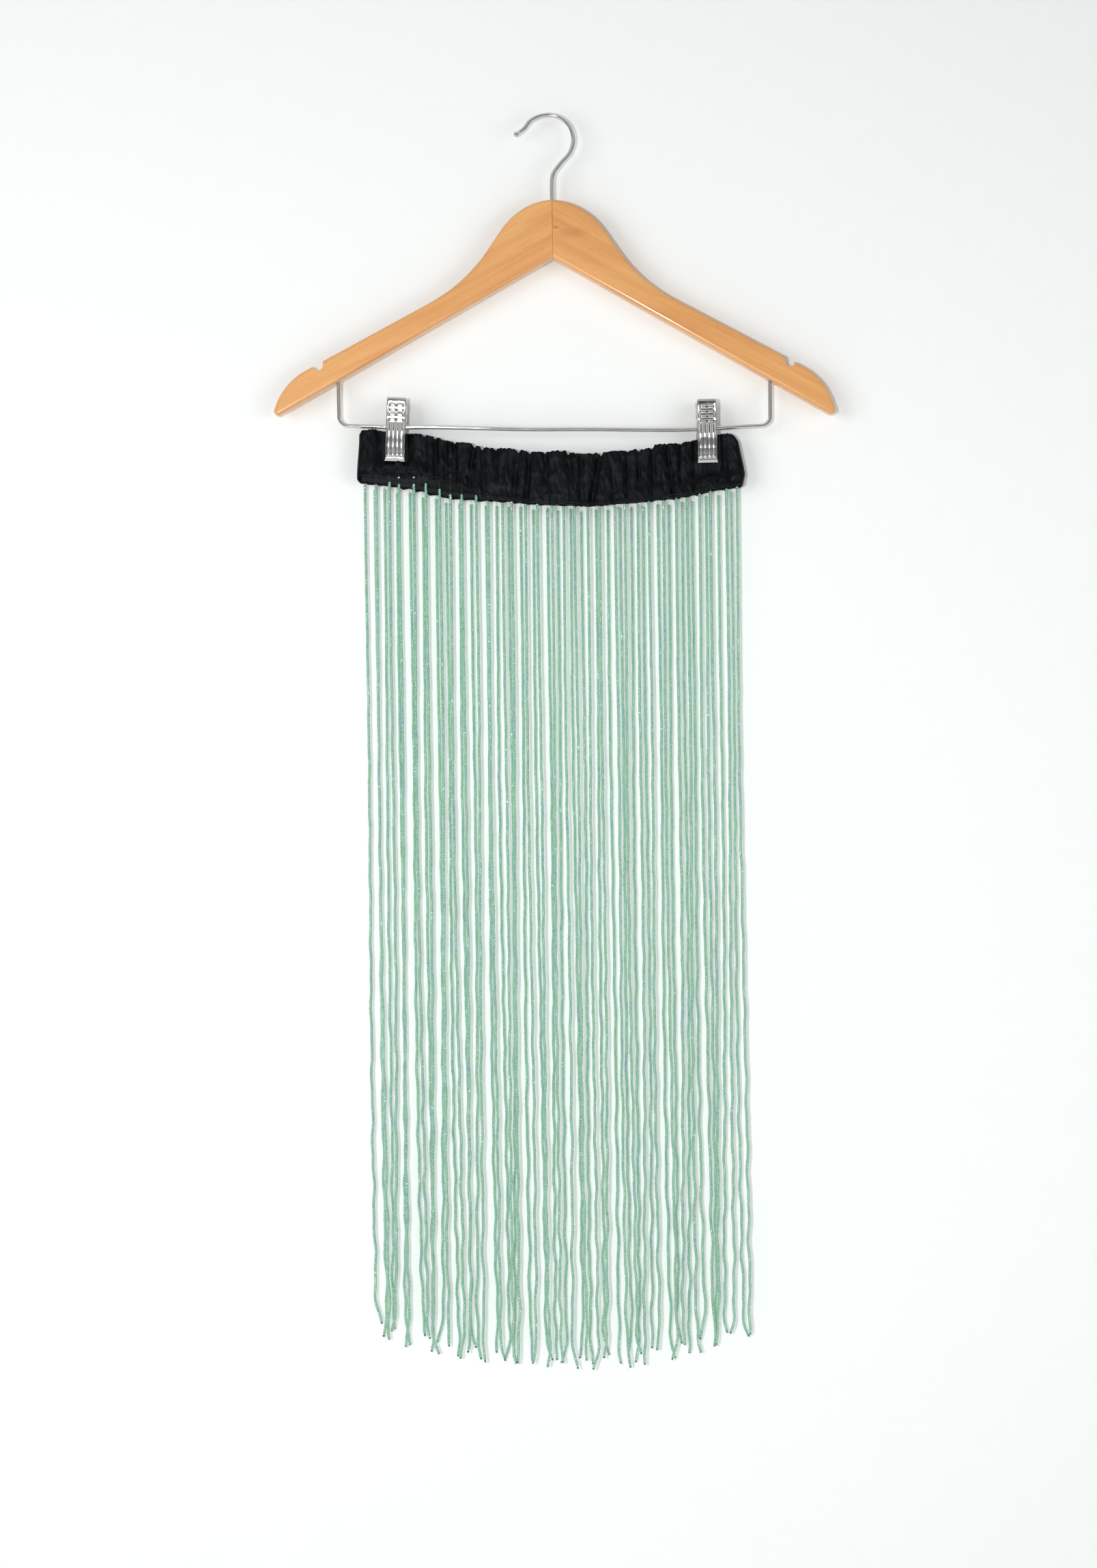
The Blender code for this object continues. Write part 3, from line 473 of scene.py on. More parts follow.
def spline(points, share):
    """Point on a smooth curve through the points, share running from 0 to 1 along them."""
    position = min(max(share, 0.0), 1.0) * (len(points) - 1)
    index = min(int(position), len(points) - 2)
    t = position - index
    before = points[max(index - 1, 0)]
    start = points[index]
    end = points[index + 1]
    after = points[min(index + 2, len(points) - 1)]
    leaving = (end - before) * 0.5
    arriving = (after - start) * 0.5
    return (start * (2 * t**3 - 3 * t**2 + 1) + leaving * (t**3 - 2 * t**2 + t)
            + end * (3 * t**2 - 2 * t**3) + arriving * (t**3 - t**2))


def along(stations, column, x, key="x"):
    """Value of one column of a table at x, both in metres, eased between its rows."""
    x_mm = x / MM
    rows = stations if getattr(stations[0], key) < getattr(stations[-1], key) else stations[::-1]
    if x_mm <= getattr(rows[0], key):
        return getattr(rows[0], column) * MM
    for low, high in zip(rows, rows[1:]):
        if x_mm <= getattr(high, key):
            share = (x_mm - getattr(low, key)) / (getattr(high, key) - getattr(low, key))
            start = getattr(low, column)
            return (start + (getattr(high, column) - start) * ease(share)) * MM
    return getattr(rows[-1], column) * MM


# Materials


def add_node(tree, kind, inputs=(), stops=(), **settings):
    """Add a shader node: settings are its properties, inputs its sockets' values or links, stops its ramp."""
    made = tree.nodes.new(kind)
    for name, value in settings.items():
        setattr(made, name, value)
    for name, value in dict(inputs).items():
        if isinstance(value, bpy.types.NodeSocket):
            tree.links.new(value, made.inputs[name])
        else:
            made.inputs[name].default_value = value
    if stops:
        ramp = made.color_ramp
        while len(ramp.elements) < len(stops):
            ramp.elements.new(1.0)
        for element, (position, code) in zip(ramp.elements, stops):
            element.position = position
            element.color = hex_colour(code)
    return made


def new_material(name):
    """A material with its tree and its Principled shader."""
    made = bpy.data.materials.new(name)
    made.use_nodes = True
    return made, made.node_tree, made.node_tree.nodes["Principled BSDF"]


def lacquered_beech(name, side, knot=False):
    """Beech, sanded and clear lacquered: long soft grain with short dark flecks under a thin gloss."""
    made, tree, shader = new_material(name)
    place = add_node(tree, "ShaderNodeTexCoord").outputs["Object"]
    turned = add_node(tree, "ShaderNodeMapping", {
        "Vector": place, "Rotation": (0.0, -side * ARM_GRAIN_TILT, 0.0)})
    # Growth rings about 7 mm apart, drawn out over 110 mm along the arm
    rings = add_node(tree, "ShaderNodeMapping", {"Vector": turned.outputs[0], "Scale": (9.0, 60.0, 140.0)})
    figure = add_node(tree, "ShaderNodeTexNoise", {
        "Vector": rings.outputs[0], "Scale": 1.0, "Detail": 3.0, "Roughness": 0.55, "Distortion": 0.6})
    # Fibres 0.8 mm apart and flecks of 0.3 by 3 mm
    fibres = add_node(tree, "ShaderNodeMapping", {
        "Vector": turned.outputs[0], "Scale": (70.0, 1200.0, 1200.0)})
    fibre = add_node(tree, "ShaderNodeTexNoise", {"Vector": fibres.outputs[0], "Scale": 1.0, "Detail": 2.0})
    flecks = add_node(tree, "ShaderNodeMapping", {
        "Vector": turned.outputs[0], "Scale": (300.0, 3000.0, 3000.0)})
    fleck = add_node(tree, "ShaderNodeTexNoise", {"Vector": flecks.outputs[0], "Scale": 1.0, "Detail": 0.0})
    marks = add_node(tree, "ShaderNodeMapRange", {
        "Value": fleck.outputs["Fac"], "From Min": 0.66, "From Max": 0.78, "To Max": 0.16})
    tone = add_node(tree, "ShaderNodeValToRGB", {"Fac": figure.outputs["Fac"]},
                    stops=((0.24, "C08347"), (0.43, "CA8F52"), (0.6, "D1985B"), (0.8, "D8A365")))
    grained = add_node(tree, "ShaderNodeMix", {
        "Factor": 0.1, "A": tone.outputs[0], "B": fibre.outputs["Color"]},
        data_type="RGBA", blend_type="SOFT_LIGHT")
    last = add_node(tree, "ShaderNodeMix", {
        "Factor": marks.outputs[0], "A": grained.outputs["Result"], "B": hex_colour("8A5226")},
        data_type="RGBA")
    if knot:
        for mark in KNOT_MARKS:
            scale = [1.0 / (size * MM) for size in mark.reach]
            moved = add_node(tree, "ShaderNodeVectorMath", {0: place, 1: mark.centre}, operation="SUBTRACT")
            near = add_node(tree, "ShaderNodeVectorMath", {0: moved.outputs[0], 1: scale},
                            operation="MULTIPLY")
            away = add_node(tree, "ShaderNodeVectorMath", {0: near.outputs[0]}, operation="LENGTH")
            spot = add_node(tree, "ShaderNodeMapRange", {
                "Value": away.outputs["Value"], "From Min": 1.1, "From Max": 0.1, "To Max": mark.strength},
                interpolation_type="SMOOTHSTEP")
            last = add_node(tree, "ShaderNodeMix", {
                "Factor": spot.outputs[0], "A": last.outputs["Result"], "B": hex_colour(mark.code)},
                data_type="RGBA")
    tree.links.new(last.outputs["Result"], shader.inputs["Base Color"])
    shine = add_node(tree, "ShaderNodeMapRange", {
        "Value": figure.outputs["Fac"], "To Min": 0.46, "To Max": 0.34})
    tree.links.new(shine.outputs[0], shader.inputs["Roughness"])
    relief = add_node(tree, "ShaderNodeBump", {
        "Height": fibre.outputs["Fac"], "Strength": 0.12, "Distance": 0.1 * MM})
    tree.links.new(relief.outputs[0], shader.inputs["Normal"])
    shader.inputs["Coat Weight"].default_value = 0.8
    shader.inputs["Coat Roughness"].default_value = 0.11
    return made


def chrome_plate(name, code, wear):
    """Bright chrome on steel: mirror-like, with a faint haze from handling and hairlines from rubbing."""
    made, tree, shader = new_material(name)
    place = add_node(tree, "ShaderNodeTexCoord").outputs["Object"]
    # Patches of haze about 12 mm across
    haze = add_node(tree, "ShaderNodeTexNoise", {"Vector": place, "Scale": 80.0, "Detail": 3.0})
    # Hairlines 0.25 mm apart, drawn coarser than real ones so that they show
    hairs = add_node(tree, "ShaderNodeTexNoise", {"Vector": place, "Scale": 4000.0, "Detail": 1.0})
    rough = add_node(tree, "ShaderNodeMapRange", {
        "Value": haze.outputs["Fac"], "From Min": 0.3, "From Max": 0.75, "To Min": 0.05, "To Max": wear})
    tree.links.new(rough.outputs[0], shader.inputs["Roughness"])
    tone = add_node(tree, "ShaderNodeMix", {
        "Factor": haze.outputs["Fac"], "A": hex_colour(code), "B": hex_colour("D8D8D6")},
        data_type="RGBA")
    tree.links.new(tone.outputs["Result"], shader.inputs["Base Color"])
    relief = add_node(tree, "ShaderNodeBump", {
        "Height": hairs.outputs["Fac"], "Strength": 0.04, "Distance": 0.05 * MM})
    tree.links.new(relief.outputs[0], shader.inputs["Normal"])
    shader.inputs["Metallic"].default_value = 1.0
    return made


def crushed_satin(name, code, lit_code):
    """Heavy black satin with a short nap: deep black, with a painted grey sheen in patches where the nap is
    pressed.
    """
    made, tree, shader = new_material(name)
    place = add_node(tree, "ShaderNodeTexCoord").outputs["Object"]
    flat = add_node(tree, "ShaderNodeUVMap", uv_map="cloth").outputs[0]
    # Patches of pressed nap 5 to 10 mm across, broken up by specks of 1 mm: their lighter base colour is a
    # painted sheen, and there the satin is also less rough
    patch = add_node(tree, "ShaderNodeTexNoise", {
        "Vector": place, "Scale": 110.0, "Detail": 5.0, "Roughness": 0.62, "Distortion": 0.4})
    painted_sheen_mask = add_node(tree, "ShaderNodeMapRange", {
        "Value": patch.outputs["Fac"], "From Min": 0.46, "From Max": 0.74}, interpolation_type="SMOOTHSTEP")
    # Painted sheen: the lighter colour in the patches stands in for the light that the pressed nap catches
    tone = add_node(tree, "ShaderNodeMix", {
        "Factor": painted_sheen_mask.outputs[0], "A": hex_colour(code), "B": hex_colour(lit_code)},
        data_type="RGBA")
    tree.links.new(tone.outputs["Result"], shader.inputs["Base Color"])
    rough = add_node(tree, "ShaderNodeMapRange", {
        "Value": patch.outputs["Fac"], "To Min": 0.46, "To Max": 0.34})
    tree.links.new(rough.outputs[0], shader.inputs["Roughness"])
    # Floats of the weave 0.4 mm apart on a cut of 612 by 90 mm, four times too coarse so that they show
    threads = add_node(tree, "ShaderNodeMapping", {"Vector": flat, "Scale": (1500.0, 220.0, 1.0)})
    weave = add_node(tree, "ShaderNodeTexBrick", {
        "Vector": threads.outputs[0], "Scale": 1.0, "Mortar Size": 0.12, "Mortar Smooth": 1.0,
        "Brick Width": 0.5, "Row Height": 1.0, "Color1": (1, 1, 1, 1), "Color2": (0.8, 0.8, 0.8, 1),
        "Mortar": (0, 0, 0, 1)})
    # Creases crushed into it 4 to 9 mm apart, stronger towards the right end
    leaned = add_node(tree, "ShaderNodeMapping", {
        "Vector": place, "Rotation": (0.0, 0.2, 0.0), "Scale": (200.0, 200.0, 80.0)})
    crush = add_node(tree, "ShaderNodeTexNoise", {
        "Vector": leaned.outputs[0], "Scale": 1.0, "Detail": 2.0, "Roughness": 0.5, "Distortion": 0.5},
        noise_type="RIDGED_MULTIFRACTAL")
    across = add_node(tree, "ShaderNodeSeparateXYZ", {"Vector": place}).outputs["X"]
    crushed = add_node(tree, "ShaderNodeMapRange", {
        "Value": across, "From Min": -0.08, "From Max": 0.0, "To Min": 0.4, "To Max": 1.0})
    folds = add_node(tree, "ShaderNodeBump", {
        "Height": crush.outputs["Fac"], "Strength": crushed.outputs[0], "Distance": 0.9 * MM})
    relief = add_node(tree, "ShaderNodeBump", {
        "Height": weave.outputs["Color"], "Strength": 0.2, "Distance": 0.06 * MM, "Normal": folds.outputs[0]})
    tree.links.new(relief.outputs[0], shader.inputs["Normal"])
    shader.inputs["Specular IOR Level"].default_value = 0.13
    shader.inputs["Specular Tint"].default_value = hex_colour("DCE4EC")
    shader.inputs["Sheen Weight"].default_value = 0.025
    shader.inputs["Sheen Roughness"].default_value = 0.3
    shader.inputs["Sheen Tint"].default_value = hex_colour("AEB4BE")
    return made


def woven_tape(name, code):
    """Black polyester grosgrain: dull, with close ribs across it."""
    made, tree, shader = new_material(name)
    place = add_node(tree, "ShaderNodeTexCoord").outputs["Object"]
    # Ribs 0.6 mm apart along the belt; the colour follows them as painted shade, darker in the hollows and
    # lighter on the tops
    ribs = add_node(tree, "ShaderNodeTexWave", {"Vector": place, "Scale": 520.0, "Distortion": 0.4},
                    bands_direction="X")
    tone = add_node(tree, "ShaderNodeMix", {
        "Factor": ribs.outputs["Fac"], "A": hex_colour("08090A"), "B": hex_colour(code)},
        data_type="RGBA")
    tree.links.new(tone.outputs["Result"], shader.inputs["Base Color"])
    relief = add_node(tree, "ShaderNodeBump", {
        "Height": ribs.outputs["Fac"], "Strength": 0.5, "Distance": 0.15 * MM})
    tree.links.new(relief.outputs[0], shader.inputs["Normal"])
    shader.inputs["Roughness"].default_value = 0.8
    return made


def lustred_glass(name):
    """Pressed green glass with a fired rainbow lustre: half clear, with blue, lilac and leaf green glints."""
    made, tree, shader = new_material(name)
    place = add_node(tree, "ShaderNodeTexCoord").outputs["Object"]
    tone = add_node(tree, "ShaderNodeAttribute", attribute_name="bead_tone").outputs["Fac"]
    # The lustre changes slowly down a strand, over 20 to 50 mm, and from strand to strand
    drift = add_node(tree, "ShaderNodeMapping", {"Vector": place, "Scale": (150.0, 40.0, 26.0)})
    lustre = add_node(tree, "ShaderNodeTexNoise", {"Vector": drift.outputs[0], "Scale": 1.0, "Detail": 2.0})
    mixed = add_node(tree, "ShaderNodeMath", {0: tone, 1: -0.5}, operation="ADD")
    moved = add_node(tree, "ShaderNodeMath", {0: mixed.outputs[0], 1: 0.42, 2: lustre.outputs["Fac"]},
                     operation="MULTIPLY_ADD")
    colour = add_node(tree, "ShaderNodeValToRGB", {"Fac": moved.outputs[0]}, stops=(
        (0.14, "A6CCEC"), (0.26, "98E4D2"), (0.4, "B8F6DA"), (0.5, "8CE2BC"),
        (0.6, "C0FAD8"), (0.7, "A6EAB2"), (0.84, "DCECF0")))
    # Painted shade: the glass colour is darkened where two beads meet, standing in for the shade between them
    between = add_node(tree, "ShaderNodeAttribute", attribute_name="between_beads").outputs["Fac"]
    shaded = add_node(tree, "ShaderNodeMix", {
        "Factor": between, "A": colour.outputs[0], "B": hex_colour("6E9F8C")},
        data_type="RGBA", blend_type="MULTIPLY")
    tree.links.new(shaded.outputs["Result"], shader.inputs["Base Color"])
    shader.inputs["Roughness"].default_value = 0.17
    shader.inputs["Metallic"].default_value = 0.48
    shader.inputs["IOR"].default_value = 1.52
    shader.inputs["Transmission Weight"].default_value = 0.25
    shader.inputs["Coat Weight"].default_value = 1.0
    shader.inputs["Coat IOR"].default_value = 1.9
    shader.inputs["Coat Roughness"].default_value = 0.14
    shader.inputs["Thin Film Thickness"].default_value = 430.0
    shader.inputs["Thin Film IOR"].default_value = 1.9
    return made


def plain_finish(name, code, roughness, speck_code, transmission=0.0):
    """Thread or glass of one colour, with specks of a second one half a millimetre across."""
    made, tree, shader = new_material(name)
    place = add_node(tree, "ShaderNodeTexCoord").outputs["Object"]
    speck = add_node(tree, "ShaderNodeTexNoise", {"Vector": place, "Scale": 2000.0, "Detail": 1.0})
    tone = add_node(tree, "ShaderNodeMix", {
        "Factor": speck.outputs["Fac"], "A": hex_colour(code), "B": hex_colour(speck_code)},
        data_type="RGBA")
    tree.links.new(tone.outputs["Result"], shader.inputs["Base Color"])
    shader.inputs["Roughness"].default_value = roughness
    shader.inputs["Transmission Weight"].default_value = transmission
    return made


def one_sided_paint(name, colour):
    """Matt wall paint that shows from the front alone, so that the belt can be seen from behind it."""
    made, tree, shader = new_material(name)
    shader.inputs["Base Color"].default_value = (*colour, 1.0)
    shader.inputs["Roughness"].default_value = 0.9
    clear = add_node(tree, "ShaderNodeBsdfTransparent")
    behind = add_node(tree, "ShaderNodeNewGeometry").outputs["Backfacing"]
    shadow = add_node(tree, "ShaderNodeLightPath").outputs["Is Shadow Ray"]
    unseen = add_node(tree, "ShaderNodeMath", {0: behind, 1: shadow}, operation="MAXIMUM")
    mixed = add_node(tree, "ShaderNodeMixShader", {
        "Fac": unseen.outputs[0], 1: shader.outputs[0], 2: clear.outputs[0]})
    tree.links.new(mixed.outputs[0], tree.nodes["Material Output"].inputs["Surface"])
    return made


# Meshes and pieces


def mesh_of(name, builder):
    """Turn a bmesh into a mesh."""
    made = bpy.data.meshes.new(name)
    builder.to_mesh(made)
    builder.free()
    return made


def add_piece(name, mesh, surface, nodes=(), smooth_angle=SOFT):
    """Put a finished mesh in the scene as a piece of the object, standing for its CAD nodes."""
    mesh.materials.clear()
    mesh.materials.append(surface)
    mesh.shade_smooth()
    if smooth_angle is not None:
        mesh.set_sharp_from_angle(angle=smooth_angle)
    piece = bpy.data.objects.new(name, mesh)
    bpy.context.scene.collection.objects.link(piece)
    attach(piece, BODY)
    if nodes:
        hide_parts(*nodes)
    return piece


def wire_mesh(routes, radii, sides):
    """Round wires along routes, each closed at its ends, as one mesh. Radii follow the routes' points."""
    curve = bpy.data.curves.new("wire", "CURVE")
    curve.dimensions = "3D"
    curve.bevel_depth = MM
    curve.bevel_resolution = (sides - 4) // 2
    curve.use_fill_caps = True
    for route, widths in zip(routes, radii):
        run = curve.splines.new("POLY")
        run.points.add(len(route) - 1)
        for point, place, width in zip(run.points, route, widths):
            point.co = (*place, 1.0)
            point.radius = width / MM
    bent = bpy.data.objects.new("wire", curve)
    mesh = bpy.data.meshes.new_from_object(bent)
    bpy.data.objects.remove(bent)
    bpy.data.curves.remove(curve)
    builder = bmesh.new()
    builder.from_mesh(mesh)
    bmesh.ops.remove_doubles(builder, verts=builder.verts, dist=1e-6)
    bmesh.ops.recalc_face_normals(builder, faces=builder.faces)
    builder.to_mesh(mesh)
    builder.free()
    return mesh


def mapped_grid(columns, rows, place, uv_name=None):
    """A grid bent into shape: place(column, row) gives each point, and points that meet are joined."""
    builder = bmesh.new()
    if uv_name:
        builder.loops.layers.uv.new(uv_name)
    bmesh.ops.create_grid(builder, x_segments=columns, y_segments=rows, size=1.0, calc_uvs=bool(uv_name))
    for vert in builder.verts:
        column = round((vert.co.x + 1.0) / 2.0 * columns)
        row = round((vert.co.y + 1.0) / 2.0 * rows)
        vert.co = place(column, row)
    bmesh.ops.remove_doubles(builder, verts=builder.verts, dist=1e-6)
    bmesh.ops.recalc_face_normals(builder, faces=builder.faces)
    return builder


def with_thickness(builder, thickness):
    """Give a sheet its thickness, inwards from its outer face."""
    bmesh.ops.solidify(builder, geom=builder.faces, thickness=thickness)
    bmesh.ops.recalc_face_normals(builder, faces=builder.faces)


# Hanger


def filleted(corners):
    """Outline through the corners, each rounded by its radius, as (x, z) points in metres."""
    outline = []
    for index, corner in enumerate(corners):
        here = Vector((corner.x, corner.z)) * MM
        if corner.radius == 0.0:
            outline.append(here)
            continue
        before = corners[index - 1]
        after = corners[(index + 1) % len(corners)]
        back = (Vector((before.x, before.z)) * MM - here).normalized()
        ahead = (Vector((after.x, after.z)) * MM - here).normalized()
        half = back.angle(ahead) / 2.0
        radius = corner.radius * MM
        middle = here + (back + ahead).normalized() * (radius / math.sin(half))
        start = here + back * (radius / math.tan(half)) - middle
        turn = math.pi - 2.0 * half
        side = 1.0 if back.x * ahead.y - back.y * ahead.x > 0.0 else -1.0
        steps = max(3, round(turn / ARM_TURN_STEP))
        for step in range(steps + 1):
            angle = side * turn * step / steps
            outline.append(middle + Vector((
                start.x * math.cos(angle) + start.y * math.sin(angle),
                start.y * math.cos(angle) - start.x * math.sin(angle))))
    return outline


def extruded(outline, depth):
    """A plate with that outline in XZ, from -depth / 2 to depth / 2 in Y."""
    builder = bmesh.new()
    face = builder.faces.new([builder.verts.new((x, -depth / 2.0, z)) for x, z in outline])
    grown = bmesh.ops.extrude_face_region(builder, geom=[face], use_keep_orig=True)
    moved = [item for item in grown["geom"] if isinstance(item, bmesh.types.BMVert)]
    bmesh.ops.translate(builder, verts=moved, vec=(0.0, depth, 0.0))
    bmesh.ops.recalc_face_normals(builder, faces=builder.faces)
    return builder


def cut_mesh(mesh, cutters):
    """A mesh with the cutters' shapes taken out of it."""
    body = bpy.data.objects.new("body", mesh)
    bpy.context.scene.collection.objects.link(body)
    tools = []
    for cutter in cutters:
        tool = bpy.data.objects.new("cutter", cutter)
        bpy.context.scene.collection.objects.link(tool)
        difference = body.modifiers.new("cut", "BOOLEAN")
        difference.operation = "DIFFERENCE"
        difference.object = tool
        tools.append(tool)
    shown = body.evaluated_get(bpy.context.evaluated_depsgraph_get())
    made = bpy.data.meshes.new_from_object(shown)
    for item in [body, *tools]:
        bpy.data.objects.remove(item)
    return made


def arm_mesh(arm, thickness, edge_round):
    """One wooden arm with rounded edges, its shoulder notch, and the sockets for both wires."""
    side = arm.side
    outline = []
    for point in filleted(arm.corners):
        point.x = max(point.x, MITRE_GAP)
        if not outline or (point - outline[-1]).length > 2.0 * MITRE_GAP:
            outline.append(point)
    builder = extruded([(side * p.x, p.y) for p in outline], thickness)
    rounded = [edge for edge in builder.edges
               if abs(edge.verts[0].co.y - edge.verts[1].co.y) < MITRE_GAP
               and max(abs(vert.co.x) for vert in edge.verts) > 2.0 * MITRE_GAP]
    bmesh.ops.bevel(builder, geom=rounded, offset=edge_round, segments=ARM_EDGE_STEPS,
                    profile=0.5, affect="EDGES", material=-1)
    middle_z = arm.notch_floor * MM + NOTCH_RADIUS
    angles = [math.pi + math.pi * step / NOTCH_SIDES for step in range(NOTCH_SIDES + 1)]
    slot = [Vector((math.cos(angle), math.sin(angle))) * NOTCH_RADIUS for angle in angles]
    slot.append(Vector((NOTCH_RADIUS + NOTCH_MOUTH * math.tan(NOTCH_LEAN), NOTCH_MOUTH)))
    slot.append(Vector((-NOTCH_RADIUS, NOTCH_MOUTH)))
    notch = extruded([(side * (NOTCH_X + p.x), middle_z + p.y) for p in slot], 3.0 * thickness)
    hanger = bpy.context.scene.fringe_belt.hanger
    stem_end = Vector((0.0, 0.0, HEAD_CORNERS[0].z * MM - HOOK_STEM_DEPTH - SOCKET_CLEARANCE))
    leg_end = Vector((side * BAR_LEG_X, 0.0, BAR_LEG_TOP_Z + SOCKET_CLEARANCE))
    sockets = []
    for end, mouth, wire in ((stem_end, HOOK_STEM_DEPTH + SOCKET_MOUTH, hanger.hook_wire),
                             (leg_end, -SOCKET_MOUTH, hanger.bar_wire)):
        route = [end, end + Vector((0.0, 0.0, mouth))]
        radius = wire / 2.0 + SOCKET_CLEARANCE
        sockets.append(wire_mesh([route], [[radius, radius]], WIRE_SIDES))
    return cut_mesh(mesh_of("arm", builder), [mesh_of("notch", notch), *sockets])


def hook_mesh(wire_radius):
    """The bent wire hook with a ball at its tip, its stem down in the wood."""
    points = [Vector((bend.x, 0.0, bend.z)) * MM for bend in HOOK_BENDS]
    steps = HOOK_STEPS_PER_BEND * (len(points) - 1)
    wire = [spline(points, step / steps) for step in range(steps + 1)]
    tip = wire[0]
    outward = (wire[0] - wire[1]).normalized()
    neck = math.asin(HOOK_NECK_RADIUS / HOOK_BALL_RADIUS)
    turns = [math.pi + (neck - math.pi) * step / BALL_STEPS for step in range(1, BALL_STEPS + 1)]
    ball = [tip - outward * HOOK_BALL_RADIUS * math.cos(turn) for turn in turns]
    widths = [HOOK_BALL_RADIUS * math.sin(turn) for turn in turns]
    clear = [point for point in wire if (point - tip).length > HOOK_BALL_RADIUS * 1.15]
    stem = Vector((0.0, 0.0, HEAD_CORNERS[0].z * MM - HOOK_STEM_DEPTH))
    route = ball + clear + [stem]
    return wire_mesh([route], [widths + [wire_radius] * (len(clear) + 1)], WIRE_SIDES)


def bar_z(x):
    """Height of the bar's long stretch at x."""
    return along(BAR_SAG, "z", x)


def bar_mesh(wire_radius):
    """The bent wire between the arms: two legs and a long stretch that sags a little."""
    left = []
    right = []
    for side, leg in ((-1.0, left), (1.0, right)):
        foot_z = bar_z(side * BAR_LEG_X)
        leg.append(Vector((side * BAR_LEG_X, 0.0, BAR_LEG_TOP_Z)))
        for step in range(BAR_BEND_STEPS + 1):
            angle = math.pi / 2.0 * step / BAR_BEND_STEPS
            leg.append(Vector((side * (BAR_LEG_X - BAR_BEND_RADIUS * (1.0 - math.cos(angle))), 0.0,
                               foot_z + BAR_BEND_RADIUS * (1.0 - math.sin(angle)))))
    inner = BAR_LEG_X - BAR_BEND_RADIUS
    stretch = []
    for step in range(1, BAR_SPANS):
        x = -inner + 2.0 * inner * step / BAR_SPANS
        stretch.append(Vector((x, 0.0, bar_z(x))))
    route = left + stretch + right[::-1]
    return wire_mesh([route], [[wire_radius] * len(route)], WIRE_SIDES)


def clip_place(clip):
    """Where a clip sits on the bar, leaning as it leans."""
    place = Matrix.Translation((clip.x * MM, 0.0, bar_z(clip.x * MM)))
    return place @ Matrix.Rotation(math.radians(clip.lean), 4, "Y")


def jaw_relief(x, z):
    """How far the pressed bars and ribs stand out of a jaw's plate at x and z, all in millimetres."""
    rise = 0.0
    for middle in GRIP_ROWS:
        across = (GRIP_HALF_WIDTH - abs(abs(x) - GRIP_MIDDLE_X)) / GRIP_HIP
        up = (GRIP_HALF_HEIGHT - abs(z - middle)) / GRIP_HIP
        dome = min(across, up, 1.0)
        rise = max(rise, GRIP_RISE * dome * (2.0 - dome))
    if GRIP_ROWS[-1] - GRIP_HALF_HEIGHT < z < GRIP_ROWS[0] + GRIP_HALF_HEIGHT + 0.5:
        rise -= GRIP_PANEL_SINK * ease((JAW_FACE_HALF - abs(x)) / 1.0)
    if abs(x) < 2.0 * RIB_PITCH:
        off = abs((x / RIB_PITCH) % 1.0 - 0.5) * 2.0
        low = RIB_LOW_Z + RIB_END_ROUND * off * off
        faded = ease((RIB_TOP_Z - z) / RIB_FADE) * ease((z - low) / RIB_FADE)
        rise += RIB_RISE * math.sqrt(max(0.0, 1.0 - off * off)) * faded
    return rise


def jaw_rows():
    """Heights of a jaw's rows in millimetres, closer where its shape turns quickly."""
    rows = [21.9, 21.75, 21.5, 21.1, 20.5, 19.5, 18.4]
    for middle in GRIP_ROWS:
        rows += [middle + off for off in (1.5, 0.95, 0.35, -0.35, -0.95, -1.5, -1.85)]
    rows += [2.5, 2.05, 1.6, 1.2, 0.6, 0.0, -0.6, -1.2, -1.6, -2.05, -2.5, -2.9, -3.3, -3.7]
    rows += [-5.2, -7.2, -9.2, -11.4, -13.5, -15.6, -18.0, -20.4, -21.6, -22.2, -22.7, -23.1, -23.5, -23.9]
    rows += [-24.2, -24.6, -25.0, -25.6, -26.2, -26.7, -27.1, -27.4, -27.6]
    return rows


def jaw_mesh(facing):
    """A pressed jaw: grip bars, ribs and lip on its face, and side flanges that meet round the bar."""
    rows = jaw_rows()
    face_from = JAW_FLANGE_STEPS + JAW_CORNER_STEPS
    columns = 2 * face_from + JAW_RELIEF_COLUMNS

    def place(column, row):
        z = rows[row] * MM
        stand_off = along(JAW_STATIONS, "stand_off", z, "z")
        half = along(JAW_STATIONS, "half_width", z, "z")
        reach = CLIP_SHEET + along(JAW_STATIONS, "flange", z, "z")
        if abs(z) < JAW_LOBE_Z:
            bore = math.sqrt(max(JAW_BORE * JAW_BORE - z * z, 0.0))
            reach = stand_off - max(bore, JAW_LOBE_GAP)
        corner = min(JAW_CORNER, reach)
        side = -1.0 if column < face_from else 1.0
        from_edge = column if side < 0.0 else columns - column
        if from_edge >= face_from:
            x = (column - face_from) / JAW_RELIEF_COLUMNS * 2.0 - 1.0
            y = stand_off + jaw_relief(x * JAW_FACE_HALF, rows[row]) * MM
            return Vector((x * (half - corner), facing * y, z))
        if from_edge >= JAW_FLANGE_STEPS:
            angle = math.pi / 2.0 * (from_edge - JAW_FLANGE_STEPS) / JAW_CORNER_STEPS
            x = half - corner + corner * math.cos(angle)
            return Vector((side * x, facing * (stand_off - corner + corner * math.sin(angle)), z))
        share = from_edge / JAW_FLANGE_STEPS
        return Vector((side * half, facing * (stand_off - reach + (reach - corner) * share), z))

    builder = mapped_grid(columns, len(rows) - 1, place)
    front = max(builder.faces, key=lambda face: facing * face.calc_center_median().y)
    if front.normal.y * facing < 0.0:
        bmesh.ops.reverse_faces(builder, faces=builder.faces)
    with_thickness(builder, JAW_THICKNESS)
    return mesh_of("jaw", builder)


